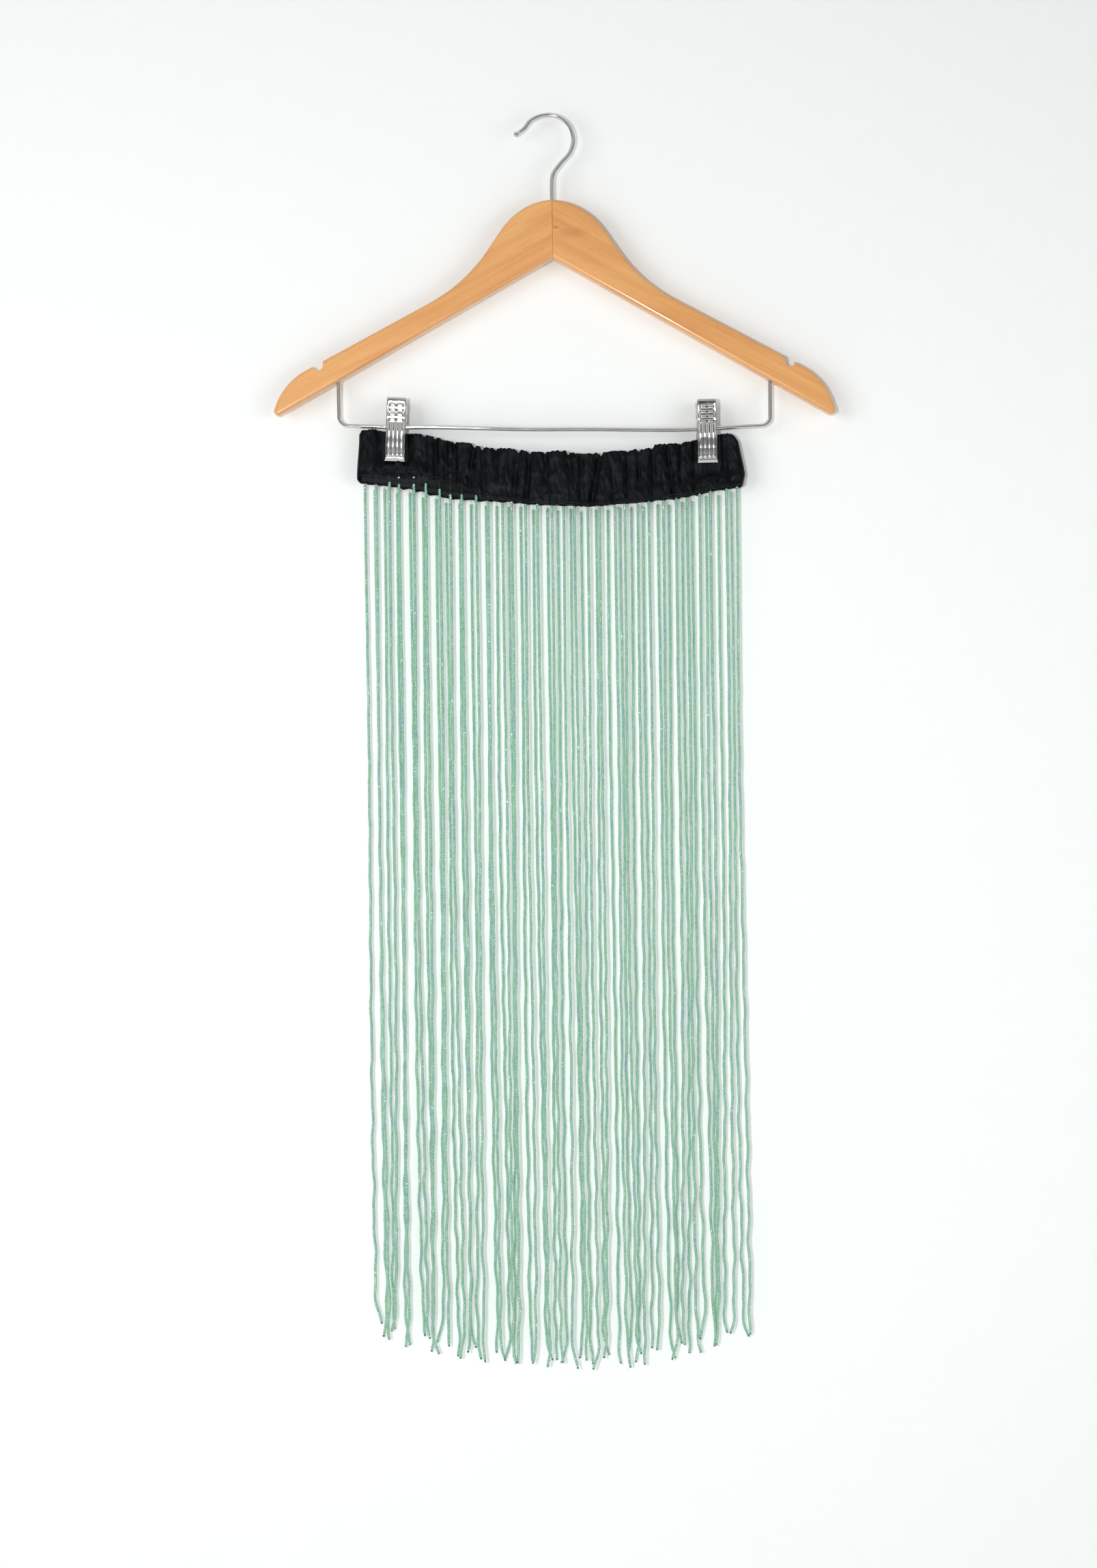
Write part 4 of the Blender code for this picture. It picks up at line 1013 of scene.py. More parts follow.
def spring_mesh():
    """A coiled spring round the bar, with a leg up to each jaw."""
    steps = SPRING_TURNS * SPRING_STEPS_PER_TURN
    coil = []
    for step in range(steps + 1):
        angle = 2.0 * math.pi * step / SPRING_STEPS_PER_TURN
        x = -SPRING_HALF + 2.0 * SPRING_HALF * step / steps
        coil.append(Vector((x, -SPRING_RADIUS * math.cos(angle), SPRING_RADIUS * math.sin(angle))))
    first = Vector((-SPRING_HALF, -SPRING_LEG.y, SPRING_LEG.z))
    last = Vector((SPRING_HALF, SPRING_LEG.y, SPRING_LEG.z))
    route = [first, (first + coil[0]) / 2.0, *coil, Vector((SPRING_HALF, SPRING_RADIUS, 0.0)), last]
    return wire_mesh([route], [[SPRING_WIRE] * len(route)], SPRING_SIDES)


# Waistband


def hem_z(row, x):
    """Height of the hem at x, without its scallops."""
    return along(BAND_STATIONS, row.hem, x)


def parting(x, depth_share):
    """Distance of a layer's inner face from the middle of the belt."""
    top = along(BAND_STATIONS, "part_top", x)
    hem = along(BAND_STATIONS, "part_hem", x)
    return top + (hem - top) * ease((depth_share - PINCH_END) / (PARTED - PINCH_END))


def fold_shift(x, depth_share):
    """How far a point near a side fold moves along the belt, as the folds lean."""
    lean_left = FOLD_LEAN_LEFT * (1.0 - ease(depth_share))
    lean_right = FOLD_LEAN_RIGHT * max(0.0, 1.0 - depth_share / FOLD_LEAN_END)
    lean_right += FOLD_CORNER_RIGHT * max(0.0, 1.0 - depth_share / FOLD_CORNER_END) ** 2
    lean_right += FOLD_TUCK_RIGHT * ease((depth_share - FOLD_TUCK_FROM) / (1.0 - FOLD_TUCK_FROM))
    near_left = 1.0 - ease((x - BAND_LEFT_X) / FOLD_REACH)
    near_right = 1.0 - ease((BAND_RIGHT_X - x) / FOLD_REACH)
    return lean_left * near_left - lean_right * near_right


def strand_x(row, index):
    """Where a strand hangs from its tape: an even pitch, a little uneven."""
    pitch = (row.last - row.first) / (row.count - 1)
    wander = math.sin(2.4 * index + row.phase) * math.cos(1.1 * index) * row.jitter
    return (row.first + pitch * index + wander) * MM


def scallop(row, x):
    """How far the hem arches up at x: over each strand, most where the front hem is the higher one."""
    nearest = min(range(row.count), key=lambda index: abs(x - strand_x(row, index)))
    off = (x - strand_x(row, nearest)) / SCALLOP_HALF
    height = SCALLOP_CLOSED
    if row is FRINGE_FRONT:
        height += (SCALLOP_OPEN - SCALLOP_CLOSED) * ease((SCALLOP_OPEN_X - x) / SCALLOP_FADE)
        if nearest in SPACED_STRANDS:
            height += SCALLOP_SPACED
    return height * (0.7 + 0.3 * math.sin(0.9 * nearest - 1.6)) * max(0.0, 1.0 - off * off)


def trough(gathers, x, depth_share):
    """How far the gathers' creases cut in at x: sharp in the middle, with soft shoulders."""
    deepest = 0.0
    for gather in gathers:
        middle = gather.x + gather.lean * (depth_share - 0.5)
        off = abs(x / MM - middle) / gather.width
        if off > 4.0:
            continue
        begun = ease((depth_share - gather.start) / GATHER_FADE + 1.0)
        left = ease((gather.end - depth_share) / GATHER_FADE + 1.0)
        deepest = max(deepest, gather.depth * begun * left * math.exp(-off ** CREASE_SHARPNESS))
    return deepest * MM


def crease_rise(creases, x, z):
    """How far the small creases stand out or sink in at x and z."""
    total = 0.0
    for crease in creases:
        px = x / MM - crease.x1
        pz = z / MM - crease.z1
        dx = crease.x2 - crease.x1
        dz = crease.z2 - crease.z1
        share = min(max((px * dx + pz * dz) / (dx * dx + dz * dz), 0.0), 1.0)
        off = math.hypot(px - dx * share, pz - dz * share) / crease.width
        if off < 3.0:
            total += crease.rise * math.exp(-off * off) * (1.0 - 0.4 * abs(2.0 * share - 1.0))
    return total * MM


def clamped(x, depth_share):
    """1 where a clip's tips press the cloth, 0 away from them."""
    pressed = 0.0
    for clip in CLIPS:
        lean = -math.tan(math.radians(clip.lean)) * PRESSED_DEPTH
        off = abs(x - clip.x * MM - lean) - CLIP_WIDTH / 2.0
        pressed = max(pressed, 1.0 - ease((off - PRESSED_MARGIN) / PRESSED_FADE))
    return pressed * (1.0 - ease((depth_share - PINCH_END) / (PARTED - PINCH_END)))


def ruffle(gathers, x, seed):
    """How far the casing's edge dips at each crease and lifts between them."""
    dip = 0.0
    for gather in gathers:
        if gather.start == 0.0:
            off = (x / MM - gather.x + gather.lean * 0.5) / RUFFLE_WIDTH
            dip = max(dip, math.exp(-off * off) * gather.depth)
    lift = 0.0
    for width, level, share in RUFFLE_WAVES:
        lift += noise.noise(Vector((x / MM / width, seed, level))) * share
    return RUFFLE_LIFT * lift - RUFFLE_DIP * dip


class BandSide:
    """One layer of the waistband: its hem, its gathers and its small creases."""

    def __init__(self, row, gathers, creases, seed):
        self.row = row
        self.gathers = gathers
        self.creases = creases
        self.seed = seed

    def edges(self, x):
        """Heights of the top edge and of the hem at x."""
        ends = ease((x - BAND_LEFT_X) / FOLD_REACH) * ease((BAND_RIGHT_X - x) / FOLD_REACH)
        calm = 1.0 - 0.7 * clamped(x, 0.0)
        top = along(BAND_STATIONS, "top", x) + ruffle(self.gathers, x, self.seed) * (0.3 + 0.7 * ends) * calm
        hem = hem_z(self.row, x) + scallop(self.row, x + fold_shift(x, 1.0))
        hem += noise.noise(Vector((x / MM / HEM_WAVER_WIDTH, self.seed, 3.0))) * HEM_WAVER * MM
        return top, hem

    def walls(self, x, share, z):
        """Distances of the layer's inner and outer faces from the middle of the belt."""
        inner = parting(x, share)
        ends = ease((x - BAND_LEFT_X) / FULLNESS_REACH) * ease((BAND_RIGHT_X - x) / FULLNESS_REACH)
        calm = 1.0 - PRESSED_FLAT * clamped(x, share)
        at = Vector((x / MM, z / MM, self.seed * 10.0))
        fine = 0.0
        for kind in WRINKLES:
            spot = ((at.x + kind.lean * at.y) / kind.width, at.y / kind.height, at.z + kind.level)
            height = noise.noise(Vector(spot))
            if kind.ridged:
                height = RIDGE_BASE - RIDGE_GAIN * abs(height)
            fine += kind.share * height
        proud = FULLNESS - GATHER_DEPTH * trough(self.gathers, x, share) + crease_rise(self.creases, x, z)
        proud = max(proud + WRINKLE * fine, LEAST_PROUD)
        rolled = HEM_ROLL * math.exp(-((1.0 - share) / HEM_ROLL_SHARE) ** 2)
        return inner, inner + CLOTH + (proud + rolled) * ends * calm


def edge_shares(count):
    """Shares from 0 to 1, closer together near both ends."""
    shares = []
    for step in range(count + 1):
        even = step / count
        shares.append(even * 0.3 + (1.0 - math.cos(math.pi * even)) * 0.35)
    return shares


def rounded_edge(share, depth):
    """How much of its thickness the cloth has near its edges, where it folds over."""
    off = min(share, 1.0 - share) * depth
    if off >= FOLDED_EDGE:
        return 1.0
    return math.sqrt(max(0.0, 1.0 - (1.0 - off / FOLDED_EDGE) ** 2))


def band_stops():
    """Stops round the belt, as (x, turn): turn is 0 on the front, pi on the back, between them at a fold."""
    left = BAND_LEFT_X + END_ROUND
    right = BAND_RIGHT_X - END_ROUND
    front = [(left + (right - left) * index / BAND_COLUMNS, 0.0) for index in range(BAND_COLUMNS + 1)]
    fold = [math.pi * step / END_STEPS for step in range(1, END_STEPS)]
    stops = front + [(right, turn) for turn in fold]
    stops += [(x, math.pi) for x, _ in reversed(front)]
    stops += [(left, math.pi - turn) for turn in fold]
    return stops + [front[0]]


def band_mesh():
    """The waistband: a casing folded over at the top and the hem, all round in one tube."""
    front, back = (BandSide(*side) for side in BAND_SIDES)
    stops = band_stops()
    shares = edge_shares(BAND_ROWS_OUT) + edge_shares(BAND_ROWS_IN)[-2::-1]
    middle_x = (BAND_LEFT_X + BAND_RIGHT_X) / 2.0
    edges = {}
    for x, turn in stops:
        reach = x + math.copysign(END_ROUND, x - middle_x) * math.sin(turn)
        edges[x, turn] = (front.edges(reach), back.edges(reach))

    def place(column, row):
        x, turn = stops[column]
        outer = row <= BAND_ROWS_OUT
        share = shares[row]
        behind = (1.0 - math.cos(turn)) / 2.0
        (top_front, hem_front), (top_back, hem_back) = edges[x, turn]
        top = top_front + (top_back - top_front) * behind
        hem = hem_front + (hem_back - hem_front) * behind
        z = top + (hem - top) * share
        inner_wall = 0.0
        outer_wall = 0.0
        for side, weight in ((front, 1.0 - behind), (back, behind)):
            if weight > 1e-9:
                inner, out = side.walls(x, share, z)
                inner_wall += inner * weight
                outer_wall += out * weight
        middle = (inner_wall + outer_wall) / 2.0
        edge = rounded_edge(share, top - hem) * (1.0 if outer else -1.0)
        y = middle + (outer_wall - inner_wall) / 2.0 * edge
        round_off = END_ROUND - CLOTH / 2.0 + CLOTH / 2.0 * edge
        outwards = math.copysign(1.0, x - middle_x) * round_off * math.sin(turn)
        return Vector((x + outwards + fold_shift(x + outwards, share), -math.cos(turn) * y, z))

    return mesh_of("band", mapped_grid(len(stops) - 1, len(shares) - 1, place, "cloth"))


# Fringe


def tape_middle(x):
    """Distance of a tape's middle from the middle of the belt."""
    return along(BAND_STATIONS, "part_hem", x) - TAPE_REACH


def fringe_end(x):
    """Height at which the strands end, lowest in the middle."""
    off = (x - FRINGE_END_MIDDLE_X) / FRINGE_END_HALF
    return FRINGE_END_Z - FRINGE_END_SAG * (1.0 - off * off)


def tape_mesh(row):
    """A narrow woven tape inside the hem, which the threads are knotted to."""
    left = BAND_LEFT_X + TAPE_LEFT_INSET
    right = BAND_RIGHT_X - TAPE_RIGHT_INSET

    def place(column, level):
        x = left + (right - left) * column / TAPE_COLUMNS
        z = hem_z(row, x) + TAPE_ABOVE_HEM + TAPE_HEIGHT * level / TAPE_ROWS
        return Vector((x, row.facing * (tape_middle(x) + TAPE_THICKNESS / 2.0), z))

    builder = mapped_grid(TAPE_COLUMNS, TAPE_ROWS, place)
    builder.faces.ensure_lookup_table()
    if builder.faces[0].normal.y * row.facing < 0.0:
        bmesh.ops.reverse_faces(builder, faces=builder.faces)
    with_thickness(builder, TAPE_THICKNESS)
    return mesh_of("tape", builder)


def strand_points(row, index, falls):
    """Middle of a strand at shares of its fall, from its root on the tape to its end.

    The odd multipliers of the index only keep neighbouring strands out of step.
    """
    x = strand_x(row, index)
    root_y = row.facing * tape_middle(x)
    root_z = hem_z(row, x) + TAPE_ABOVE_HEM
    end_z = fringe_end(x) + STRAND_RAGGED * math.sin(3.3 * index + row.phase * 2.0)
    drift = STRAND_DRIFT * math.sin(1.9 * index + row.phase)
    eased = np.clip(falls * 3.0, 0.0, 1.0)
    eased = eased * eased * (3.0 - 2.0 * eased)
    sway = STRAND_SWAY * np.sin(6.0 * falls + 2.2 * index) * eased
    size = WAVE_TOP + WAVE_GAIN * falls ** 2
    turn = 1.7 * index + row.phase
    wave = np.sin(2 * math.pi * falls * (11.0 + 2.0 * math.sin(turn)) + turn)
    wave = wave + 0.6 * np.sin(2 * math.pi * falls * (23.0 + 4.0 * math.cos(turn)) + 2.0 * turn)
    nod = np.sin(2 * math.pi * falls * (9.0 + 2.0 * math.cos(turn)) + 3.0 * turn)
    curled = np.clip((falls - 1.0 + CURL_SHARE) / CURL_SHARE, 0.0, 1.0) ** 2
    curl = CURL * math.sin(5.1 * index + 2.0 * row.phase) * curled
    points = np.empty((len(falls), 3))
    points[:, 0] = x + drift * falls ** 3 + sway + wave * size * 0.6 * eased + curl
    out = STRAND_SPREAD * (1.0 + np.sin(1.3 * index + 2.0 * falls)) * falls
    points[:, 1] = root_y + row.facing * out + nod * size * 0.3 * eased
    points[:, 2] = root_z + (end_z - root_z) * falls
    return points


def strand_bare(row, index):
    """Length of bare thread from the tape down to the first bead."""
    if row is FRINGE_FRONT and index < len(BARE_LEFT):
        return BARE_LEFT[index] * MM
    bare = BARE_FRONT if row is FRINGE_FRONT else BARE_BACK
    return TAPE_ABOVE_HEM + bare + BARE_UNEVEN * math.sin(2.9 * index + row.phase)


def strand_length(row, index):
    """Straight fall of a strand from its tape."""
    top, low = strand_points(row, index, np.array([0.0, 1.0]))[:, 2]
    return top - low


def beads_mesh(row, indices, pitch, radius):
    """Strung beads: on each strand a closed run of rings, narrow between beads and full at their waists."""
    chance = np.random.default_rng(int(row.phase * 10) + indices[0])
    points, faces, tones, narrow = [], [], [], []
    turn = 2.0 * math.pi * np.arange(BEAD_SIDES) / BEAD_SIDES
    ring_cos = np.cos(turn)[None, :, None]
    ring_sin = np.sin(turn)[None, :, None]
    first = 0
    for index in indices:
        length = strand_length(row, index)
        bare = strand_bare(row, index)
        count = int((length - bare) / pitch)
        runs = [(0, count)]
        if row is FRINGE_FRONT and index in SPACED_STRANDS:
            runs = [(0, 1), (1 + SPACED_GAP, count)]
        for start, stop in runs:
            rings = 2 * (stop - start) + 1
            falls = (bare + (start + np.arange(rings) / 2.0) * pitch) / length
            middles = strand_points(row, index, falls)
            ahead = np.gradient(middles, axis=0)
            ahead /= np.linalg.norm(ahead, axis=1)[:, None]
            waist = np.arange(rings) % 2 == 1
            middles[waist] += chance.normal(0.0, BEAD_SHIFT, (int(waist.sum()), 3)) * (1.0, 1.0, 0.4)
            size = np.where(waist, radius * chance.normal(1.0, BEAD_UNEVEN, rings), radius * BEAD_GROOVE)
            across = np.cross(ahead, (0.0, 1.0, 0.0))
            across /= np.linalg.norm(across, axis=1)[:, None]
            up = np.cross(across, ahead)
            around = across[:, None, :] * ring_cos + up[:, None, :] * ring_sin
            points.append((middles[:, None, :] + around * size[:, None, None]).reshape(-1, 3))
            low = first + np.arange((rings - 1) * BEAD_SIDES)
            side = np.arange(len(low)) % BEAD_SIDES
            following = low - side + (side + 1) % BEAD_SIDES
            faces += np.stack([low, low + BEAD_SIDES, following + BEAD_SIDES, following], axis=1).tolist()
            tones.append(np.repeat(chance.random(stop - start), 2 * BEAD_SIDES))
            faces.append(list(range(first, first + BEAD_SIDES)))
            last = first + (rings - 1) * BEAD_SIDES
            faces.append(list(range(last + BEAD_SIDES - 1, last - 1, -1)))
            tones.append(np.array([0.5, 0.5]))
            narrow.append(~waist)
            first = last + BEAD_SIDES
    mesh = bpy.data.meshes.new("beads")
    mesh.from_pydata(np.concatenate(points).tolist(), [], faces)
    tone = mesh.attributes.new("bead_tone", "FLOAT", "FACE")
    tone.data.foreach_set("value", np.concatenate(tones).astype(np.float32))
    edges = np.empty(len(mesh.edges) * 2, np.int32)
    mesh.edges.foreach_get("vertices", edges)
    rings = edges.reshape(-1, 2) // BEAD_SIDES
    grooved = (rings[:, 0] == rings[:, 1]) & np.concatenate(narrow)[rings[:, 0]]
    # Painted shade: an attribute that is 1 on the rings between beads, where the glass colour is darkened
    between = mesh.attributes.new("between_beads", "FLOAT", "POINT")
    between.data.foreach_set("value", np.repeat(np.concatenate(narrow), BEAD_SIDES).astype(np.float32))
    sharp = mesh.attributes.new("sharp_edge", "BOOLEAN", "EDGE")
    sharp.data.foreach_set("value", grooved)
    return mesh


def thread_routes(row):
    """The bare threads above each strand's first bead, two to a strand, and the tail below its stop."""
    routes = []
    for index in range(row.count):
        length = strand_length(row, index)
        bare = strand_bare(row, index)
        reach = bare
        if row is FRINGE_FRONT and index in SPACED_STRANDS:
            reach += (1 + SPACED_GAP) * BEAD_PITCH
        falls = np.linspace(0.0, (reach + BEAD_PITCH / 2.0) / length, 6)
        middles = strand_points(row, index, falls)
        for side in (-1.0, 1.0):
            spread = np.clip(1.0 - falls * length / bare, 0.12, 1.0) * THREAD_SPREAD * side
            routes.append([Vector((x + off, y, z)) for (x, y, z), off in zip(middles, spread)])
        end = Vector(strand_points(row, index, np.array([1.0]))[0])
        swing = math.sin(4.3 * index + row.phase)
        routes.append([end, end + Vector((0.5 * swing, 0.1, -0.5)) * THREAD_TAIL,
                       end + Vector((0.9 * swing, 0.2, -0.85)) * THREAD_TAIL])
    return routes


def stops_mesh(row):
    """The stop at each strand's end: a small darker bead turned on its side in the loop of the thread."""
    builder = bmesh.new()
    for index in range(row.count):
        end = Vector(strand_points(row, index, np.array([1.0]))[0])
        turn = Matrix.Rotation(1.1 + 0.5 * math.sin(2.7 * index), 4, "X")
        turn = Matrix.Rotation(2.3 * index, 4, "Z") @ turn
        shape = Matrix.Diagonal((*STOP_SCALE, 1.0))
        bmesh.ops.create_uvsphere(builder, u_segments=STOP_SEGMENTS, v_segments=STOP_RINGS,
                                  radius=BEAD_RADIUS, matrix=Matrix.Translation(end) @ turn @ shape)
    return mesh_of("stops", builder)


def stitches_mesh(side):
    """A row of stitches along a hem, standing a little out of the cloth."""
    layer = BandSide(*side)
    left = BAND_LEFT_X + FOLD_REACH / 2.0
    count = int((BAND_RIGHT_X - FOLD_REACH / 2.0 - left) / STITCH_PITCH)
    routes = []
    for index in range(count):
        route = []
        for share, proud in STITCH_ARC:
            x = left + index * STITCH_PITCH + STITCH_LENGTH * share
            top, hem = layer.edges(x)
            z = top + (hem - top) * STITCH_DEPTH_SHARE
            _, outer = layer.walls(x, STITCH_DEPTH_SHARE, z)
            y = layer.row.facing * (outer + proud * MM)
            route.append(Vector((x + fold_shift(x, STITCH_DEPTH_SHARE), y, z)))
        routes.append(route)
    return wire_mesh(routes, [[STITCH_RADIUS] * len(STITCH_ARC)] * len(routes), THREAD_SIDES)


# Settings, operators and panel


class HangerSettings(bpy.types.PropertyGroup):
    """Sizes and colours of the wooden hanger, its wires and its clips."""

    arm_thickness: bpy.props.FloatProperty(
        name="Arm Thickness", description="Front to back of a wooden arm",
        default=13.0 * MM, min=6.0 * MM, max=30.0 * MM, subtype="DISTANCE", unit="LENGTH")
    edge_round: bpy.props.FloatProperty(
        name="Edge Round", description="Radius of the arms' long edges",
        default=2.6 * MM, min=0.5 * MM, max=6.0 * MM, subtype="DISTANCE", unit="LENGTH")
    hook_wire: bpy.props.FloatProperty(
        name="Hook Wire", description="Diameter of the hook's wire",
        default=3.4 * MM, min=2.0 * MM, max=6.0 * MM, subtype="DISTANCE", unit="LENGTH")
    bar_wire: bpy.props.FloatProperty(
        name="Bar Wire", description="Diameter of the bar between the arms",
        default=3.2 * MM, min=2.0 * MM, max=6.0 * MM, subtype="DISTANCE", unit="LENGTH")


class FringeSettings(bpy.types.PropertyGroup):
    """Sizes of the fringe's beads."""

    bead_pitch: bpy.props.FloatProperty(
        name="Bead Pitch", description="Distance from one bead to the next along a strand",
        default=BEAD_PITCH, min=1.0 * MM, max=5.0 * MM, subtype="DISTANCE", unit="LENGTH")
    bead_radius: bpy.props.FloatProperty(
        name="Bead Radius", description="Radius of a bead at its waist",
        default=BEAD_RADIUS, min=0.5 * MM, max=3.0 * MM, subtype="DISTANCE", unit="LENGTH")


class StageSettings(bpy.types.PropertyGroup):
    """The wall's colour and the strengths of the lights."""

    wall_colour: bpy.props.FloatVectorProperty(
        name="Wall", description="Colour of the backdrop wall and the floor",
        default=hex_colour("E2E4E3")[:3], size=3, min=0.0, max=1.0, subtype="COLOR")
    key_power: bpy.props.FloatProperty(
        name="Key", description="Power of the small light beside the camera",
        default=13.6, min=0.0, max=500.0, unit="POWER")
    fill_power: bpy.props.FloatProperty(
        name="Fill", description="Power of each of the wide soft lights",
        default=25.5, min=0.0, max=500.0, unit="POWER")


class BeltSettings(bpy.types.PropertyGroup):
    """Everything that can be changed on the belt and its hanger."""

    hanger: bpy.props.PointerProperty(type=HangerSettings)
    fringe: bpy.props.PointerProperty(type=FringeSettings)
    stage: bpy.props.PointerProperty(type=StageSettings)


class FRINGEBELT_OT_arms(bpy.types.Operator):
    """Carve the hanger's two wooden arms"""

    bl_idname = "fringe_belt.arms"
    bl_label = "Wooden Arms"

    def execute(self, context):
        hanger = context.scene.fringe_belt.hanger
        for arm in ARMS:
            surface = lacquered_beech(f"lacquered beech, {arm.name}", arm.side, knot=arm.side > 0.0)
            mesh = arm_mesh(arm, hanger.arm_thickness, hanger.edge_round)
            add_piece(f"{arm.name}_wood", mesh, surface, [arm.name], CRISP)
        return {"FINISHED"}


class FRINGEBELT_OT_wires(bpy.types.Operator):
    """Bend the hook and the bar"""

    bl_idname = "fringe_belt.wires"
    bl_label = "Hook and Bar"

    def execute(self, context):
        hanger = context.scene.fringe_belt.hanger
        surface = chrome_plate("chromed wire", "CCCCCA", 0.14)
        add_piece("hook_wire", hook_mesh(hanger.hook_wire / 2.0), surface, ["hook"])
        add_piece("bar_wire", bar_mesh(hanger.bar_wire / 2.0), surface, ["bar"])
        return {"FINISHED"}


class FRINGEBELT_OT_clips(bpy.types.Operator):
    """Press the clips' jaws and coil their springs"""

    bl_idname = "fringe_belt.clips"
    bl_label = "Clips"

    def execute(self, context):
        plate = chrome_plate("chromed sheet", "CCCCCB", 0.2)
        steel = chrome_plate("spring steel", "9A9CA2", 0.32)
        for clip in CLIPS:
            for facing, end in ((-1.0, "front"), (1.0, "back")):
                mesh = jaw_mesh(facing)
                mesh.transform(clip_place(clip))
                add_piece(f"{clip.name}_{end}_jaw", mesh, plate, [f"{clip.name}_{end}"], CRISP)
            mesh = spring_mesh()
            mesh.transform(clip_place(clip))
            add_piece(f"{clip.name}_coil", mesh, steel, [f"{clip.name}_spring"])
        return {"FINISHED"}


class FRINGEBELT_OT_waistband(bpy.types.Operator):
    """Gather the satin waistband and stitch its hems"""

    bl_idname = "fringe_belt.waistband"
    bl_label = "Waistband"

    def execute(self, context):
        satin = crushed_satin("black crushed satin", "010203", "15171A")
        add_piece("waistband", band_mesh(), satin, ["band_front", "band_back"], None)
        thread = plain_finish("brown sewing thread", "453B35", 0.7, "26201D")
        for side in BAND_SIDES:
            add_piece(f"hem_stitches_{side[0].name}", stitches_mesh(side), thread)
        return {"FINISHED"}


class FRINGEBELT_OT_fringe(bpy.types.Operator):
    """Hang the strands of beads from their tapes"""

    bl_idname = "fringe_belt.fringe"
    bl_label = "Beaded Fringe"

    def execute(self, context):
        fringe = context.scene.fringe_belt.fringe
        glass = lustred_glass("lustred green glass")
        tape = woven_tape("black grosgrain", "141518")
        clear = plain_finish("clear nylon thread", "50534F", 0.3, "3A3D3B", 0.3)
        dark = plain_finish("dark green glass", "4C8A74", 0.1, "24463A")
        for row in (FRINGE_FRONT, FRINGE_BACK):
            node = f"fringe_{row.name}"
            half = row.count // 2
            for end, indices in (("left", range(half)), ("right", range(half, row.count))):
                mesh = beads_mesh(row, indices, fringe.bead_pitch, fringe.bead_radius)
                add_piece(f"beads_{row.name}_{end}", mesh, glass, [node], None)
            add_piece(f"tape_{row.name}", tape_mesh(row), tape, [node])
            routes = thread_routes(row)
            mesh = wire_mesh(routes, [[THREAD_RADIUS] * len(route) for route in routes], THREAD_SIDES)
            add_piece(f"threads_{row.name}", mesh, clear, [node])
            add_piece(f"stops_{row.name}", stops_mesh(row), dark, [node], None)
        return {"FINISHED"}


class FRINGEBELT_OT_declare(bpy.types.Operator):
    """Collect the names of the pieces sewn to the waistband; the list is not used"""

    bl_idname = "fringe_belt.declare"
    bl_label = "State the Cut"

    def execute(self, context):
        sewn = []
        for row in (FRINGE_FRONT, FRINGE_BACK):
            sewn += [f"{kind}_{row.name}" for kind in ("tape", "threads", "stops", "hem_stitches")]
            sewn += [f"beads_{row.name}_{end}" for end in ("left", "right")]
        return {"FINISHED"}


class FRINGEBELT_OT_stage(bpy.types.Operator):
    """Set up the wall, the floor, the lights and the camera"""

    bl_idname = "fringe_belt.stage"
    bl_label = "Stage"

    def execute(self, context):
        stage = context.scene.fringe_belt.stage
        add_backdrop(stage.wall_colour)
        add_lights(stage)
        add_room()
        add_camera()
        return {"FINISHED"}


def add_plane(name, corners, surface):
    """A flat part of the stage."""
    builder = bmesh.new()
    builder.faces.new([builder.verts.new(corner) for corner in corners])
    plane = bpy.data.objects.new(name, mesh_of(name, builder))
    plane.data.materials.append(surface)
    bpy.context.scene.collection.objects.link(plane)
    return plane


def add_backdrop(colour):
    """A pale wall close behind the belt, and a pale floor below it."""
    wall_paint = one_sided_paint("wall paint", colour)
    add_plane("wall", ((-WALL_HALF, WALL_Y, FLOOR_Z), (WALL_HALF, WALL_Y, FLOOR_Z),
                       (WALL_HALF, WALL_Y, WALL_HALF), (-WALL_HALF, WALL_Y, WALL_HALF)), wall_paint)
    floor_paint, _, shader = new_material("floor paint")
    shader.inputs["Base Color"].default_value = (*colour, 1.0)
    shader.inputs["Roughness"].default_value = 0.8
    add_plane("floor", ((-FLOOR_HALF, -FLOOR_HALF, FLOOR_Z), (FLOOR_HALF, -FLOOR_HALF, FLOOR_Z),
                        (FLOOR_HALF, FLOOR_HALF, FLOOR_Z), (-FLOOR_HALF, FLOOR_HALF, FLOOR_Z)), floor_paint)


def add_area_light(name, place, target, size, power):
    """A square soft light that faces its target."""
    lamp = bpy.data.lights.new(name, "AREA")
    lamp.shape = "SQUARE"
    lamp.size = size
    lamp.energy = power
    light = bpy.data.objects.new(name, lamp)
    light.location = place
    light.rotation_euler = (Vector(target) - Vector(place)).to_track_quat("-Z", "Y").to_euler()
    bpy.context.scene.collection.objects.link(light)
    return light


def add_lights(stage):
    """A small key light beside the camera, wide fills, and a light behind for the back.

    Real glass beads pass the room's soft light on to the wall,
    so the fills are blocked by the other pieces only.
    """
    centre = VIEW_MIDDLE
    blockers = bpy.data.collections.new("pieces that block the fills")
    for piece in bpy.context.scene.objects:
        if piece.type == "MESH" and not piece.name.startswith(("beads_", "fringe_", "threads_", "stops_")):
            blockers.objects.link(piece)
    key_place = (centre.x - KEY_LEFT, -VIEW_DISTANCE, centre.z + KEY_UP)
    add_area_light("key", key_place, centre, KEY_SIZE, stage.key_power)
    for fill in FILLS:
        light = add_area_light(fill.name, fill.place, centre, fill.size, stage.fill_power * fill.share)
        light.visible_glossy = False
        light.light_linking.blocker_collection = blockers


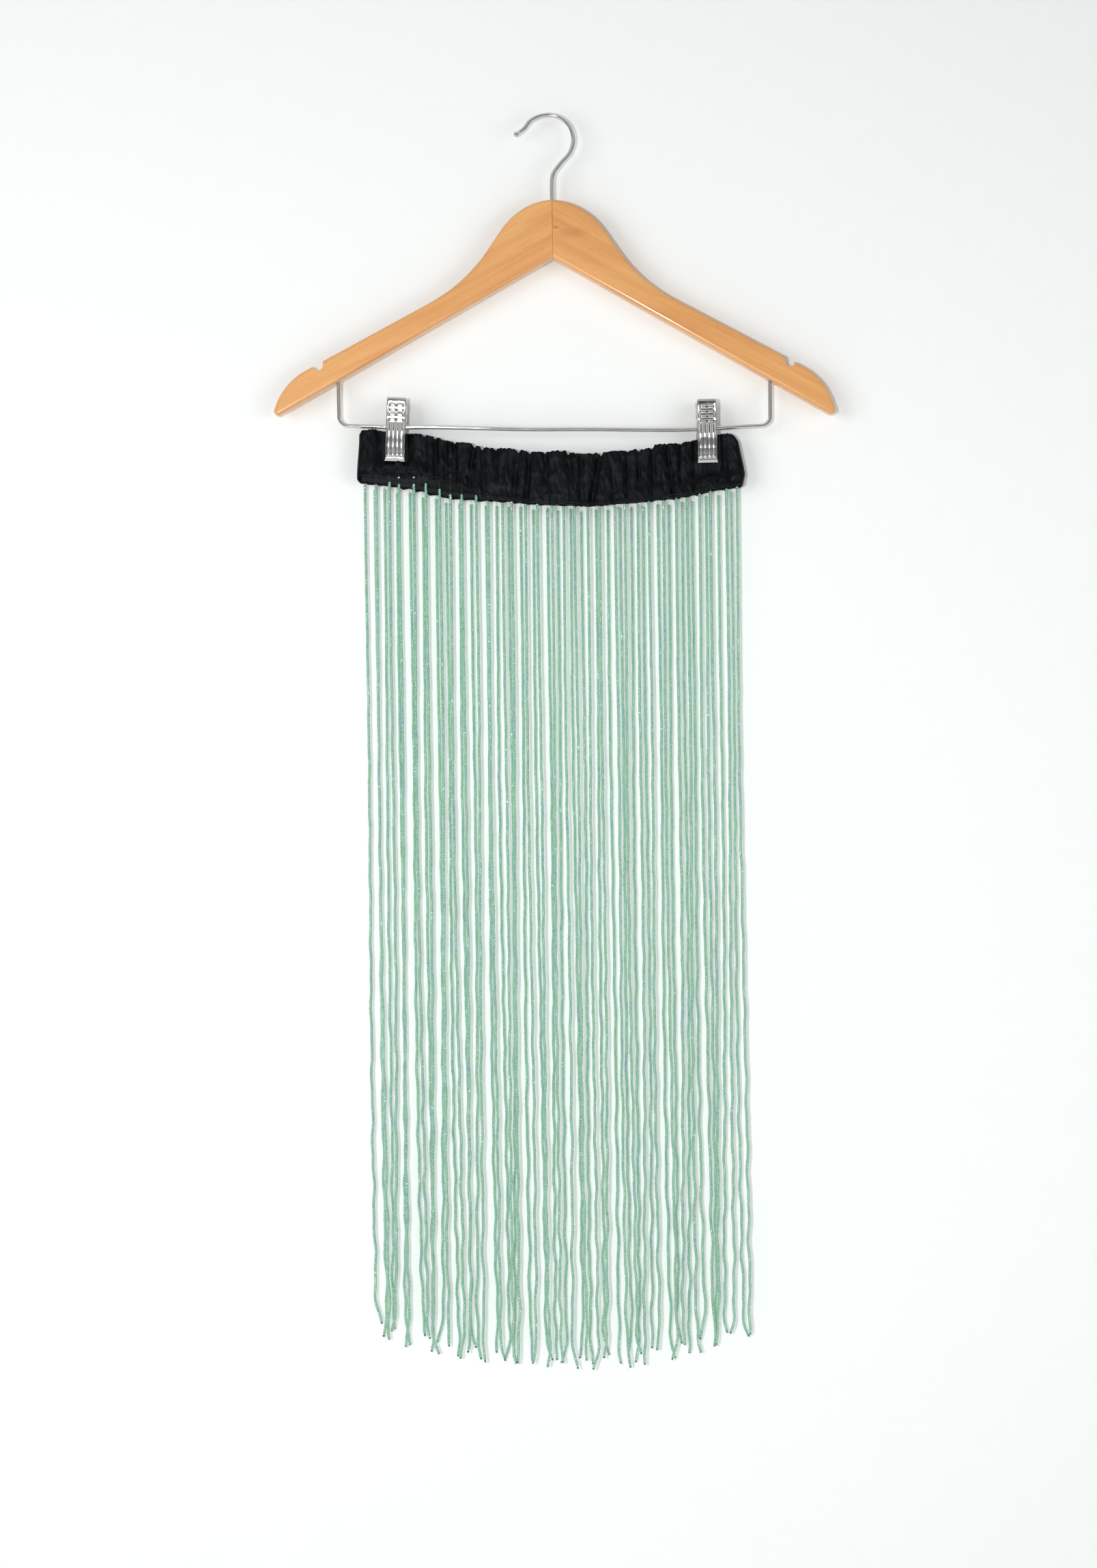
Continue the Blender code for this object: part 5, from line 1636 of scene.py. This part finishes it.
def add_room():
    """An even dim room for what is matt; chrome and glass mirror one with a bright ceiling and sides."""
    world = bpy.data.worlds.new("room")
    world.use_nodes = True
    tree = world.node_tree
    direction = add_node(tree, "ShaderNodeTexCoord").outputs["Generated"]
    parts = add_node(tree, "ShaderNodeSeparateXYZ", {"Vector": direction})
    span = add_node(tree, "ShaderNodeMapRange", {"Value": parts.outputs["Z"], "From Min": -1.0})
    upright = add_node(tree, "ShaderNodeValToRGB", {"Fac": span.outputs[0]}, stops=(
        (0.0, "8C8C8C"), (0.36, "A8A8A6"), (0.44, "3A3B3B"), (0.55, "343535"),
        (0.66, "C2C2C0"), (1.0, "F6F6F4")))
    aside = add_node(tree, "ShaderNodeMath", {0: parts.outputs["X"]}, operation="ABSOLUTE")
    sideways = add_node(tree, "ShaderNodeValToRGB", {"Fac": aside.outputs[0]}, stops=(
        (0.16, "262727"), (0.34, "D2D3D2"), (0.66, "EAEAE8"), (0.8, "1E1F1F")))
    mirrored = add_node(tree, "ShaderNodeMix", {
        "Factor": 1.0, "A": upright.outputs[0], "B": sideways.outputs[0]},
        data_type="RGBA", blend_type="LIGHTEN")
    in_gloss = add_node(tree, "ShaderNodeLightPath").outputs["Is Glossy Ray"]
    both = add_node(tree, "ShaderNodeMix", {
        "Factor": in_gloss, "A": hex_colour("88898A"), "B": mirrored.outputs["Result"]}, data_type="RGBA")
    tree.links.new(both.outputs["Result"], tree.nodes["Background"].inputs["Color"])
    bpy.context.scene.world = world


def add_camera():
    """A level camera at the photo's distance, with the photo's slight roll."""
    lens = SENSOR * VIEW_DISTANCE / VIEW_HEIGHT
    data = bpy.data.cameras.new("camera")
    data.sensor_width = SENSOR
    data.lens = lens
    camera = bpy.data.objects.new("camera", data)
    right = Vector((math.cos(VIEW_ROLL), 0.0, -math.sin(VIEW_ROLL)))
    up = Vector((math.sin(VIEW_ROLL), 0.0, math.cos(VIEW_ROLL)))
    turned = Matrix((right, up, (0.0, -1.0, 0.0))).transposed().to_4x4()
    camera.matrix_world = Matrix.Translation(VIEW_MIDDLE - Vector((0.0, VIEW_DISTANCE, 0.0))) @ turned
    bpy.context.scene.collection.objects.link(camera)
    bpy.context.scene.camera = camera


class FRINGEBELT_PT_panel(bpy.types.Panel):
    """Lists the belt's settings and the steps that build it"""

    bl_idname = "FRINGEBELT_PT_panel"
    bl_label = "Fringe Belt"
    bl_space_type = "VIEW_3D"
    bl_region_type = "UI"
    bl_category = "Fringe Belt"

    def draw(self, context):
        settings = context.scene.fringe_belt
        for group in (settings.hanger, settings.fringe, settings.stage):
            box = self.layout.box()
            for name in group.__annotations__:
                box.prop(group, name)
        for step in STEPS:
            self.layout.operator(step.bl_idname)


STEPS = (
    FRINGEBELT_OT_arms,
    FRINGEBELT_OT_wires,
    FRINGEBELT_OT_clips,
    FRINGEBELT_OT_waistband,
    FRINGEBELT_OT_fringe,
    FRINGEBELT_OT_declare,
    FRINGEBELT_OT_stage,
)
CLASSES = (HangerSettings, FringeSettings, StageSettings, BeltSettings, *STEPS, FRINGEBELT_PT_panel)


def register():
    for item in CLASSES:
        bpy.utils.register_class(item)
    bpy.types.Scene.fringe_belt = bpy.props.PointerProperty(type=BeltSettings)


def unregister():
    del bpy.types.Scene.fringe_belt
    for item in reversed(CLASSES):
        bpy.utils.unregister_class(item)


def main():
    register()
    bpy.context.scene.view_settings.view_transform = "Standard"
    bpy.ops.fringe_belt.arms()
    bpy.ops.fringe_belt.wires()
    bpy.ops.fringe_belt.clips()
    bpy.ops.fringe_belt.waistband()
    bpy.ops.fringe_belt.fringe()
    bpy.ops.fringe_belt.declare()
    bpy.ops.fringe_belt.stage()


if __name__ == "__main__":
    main()
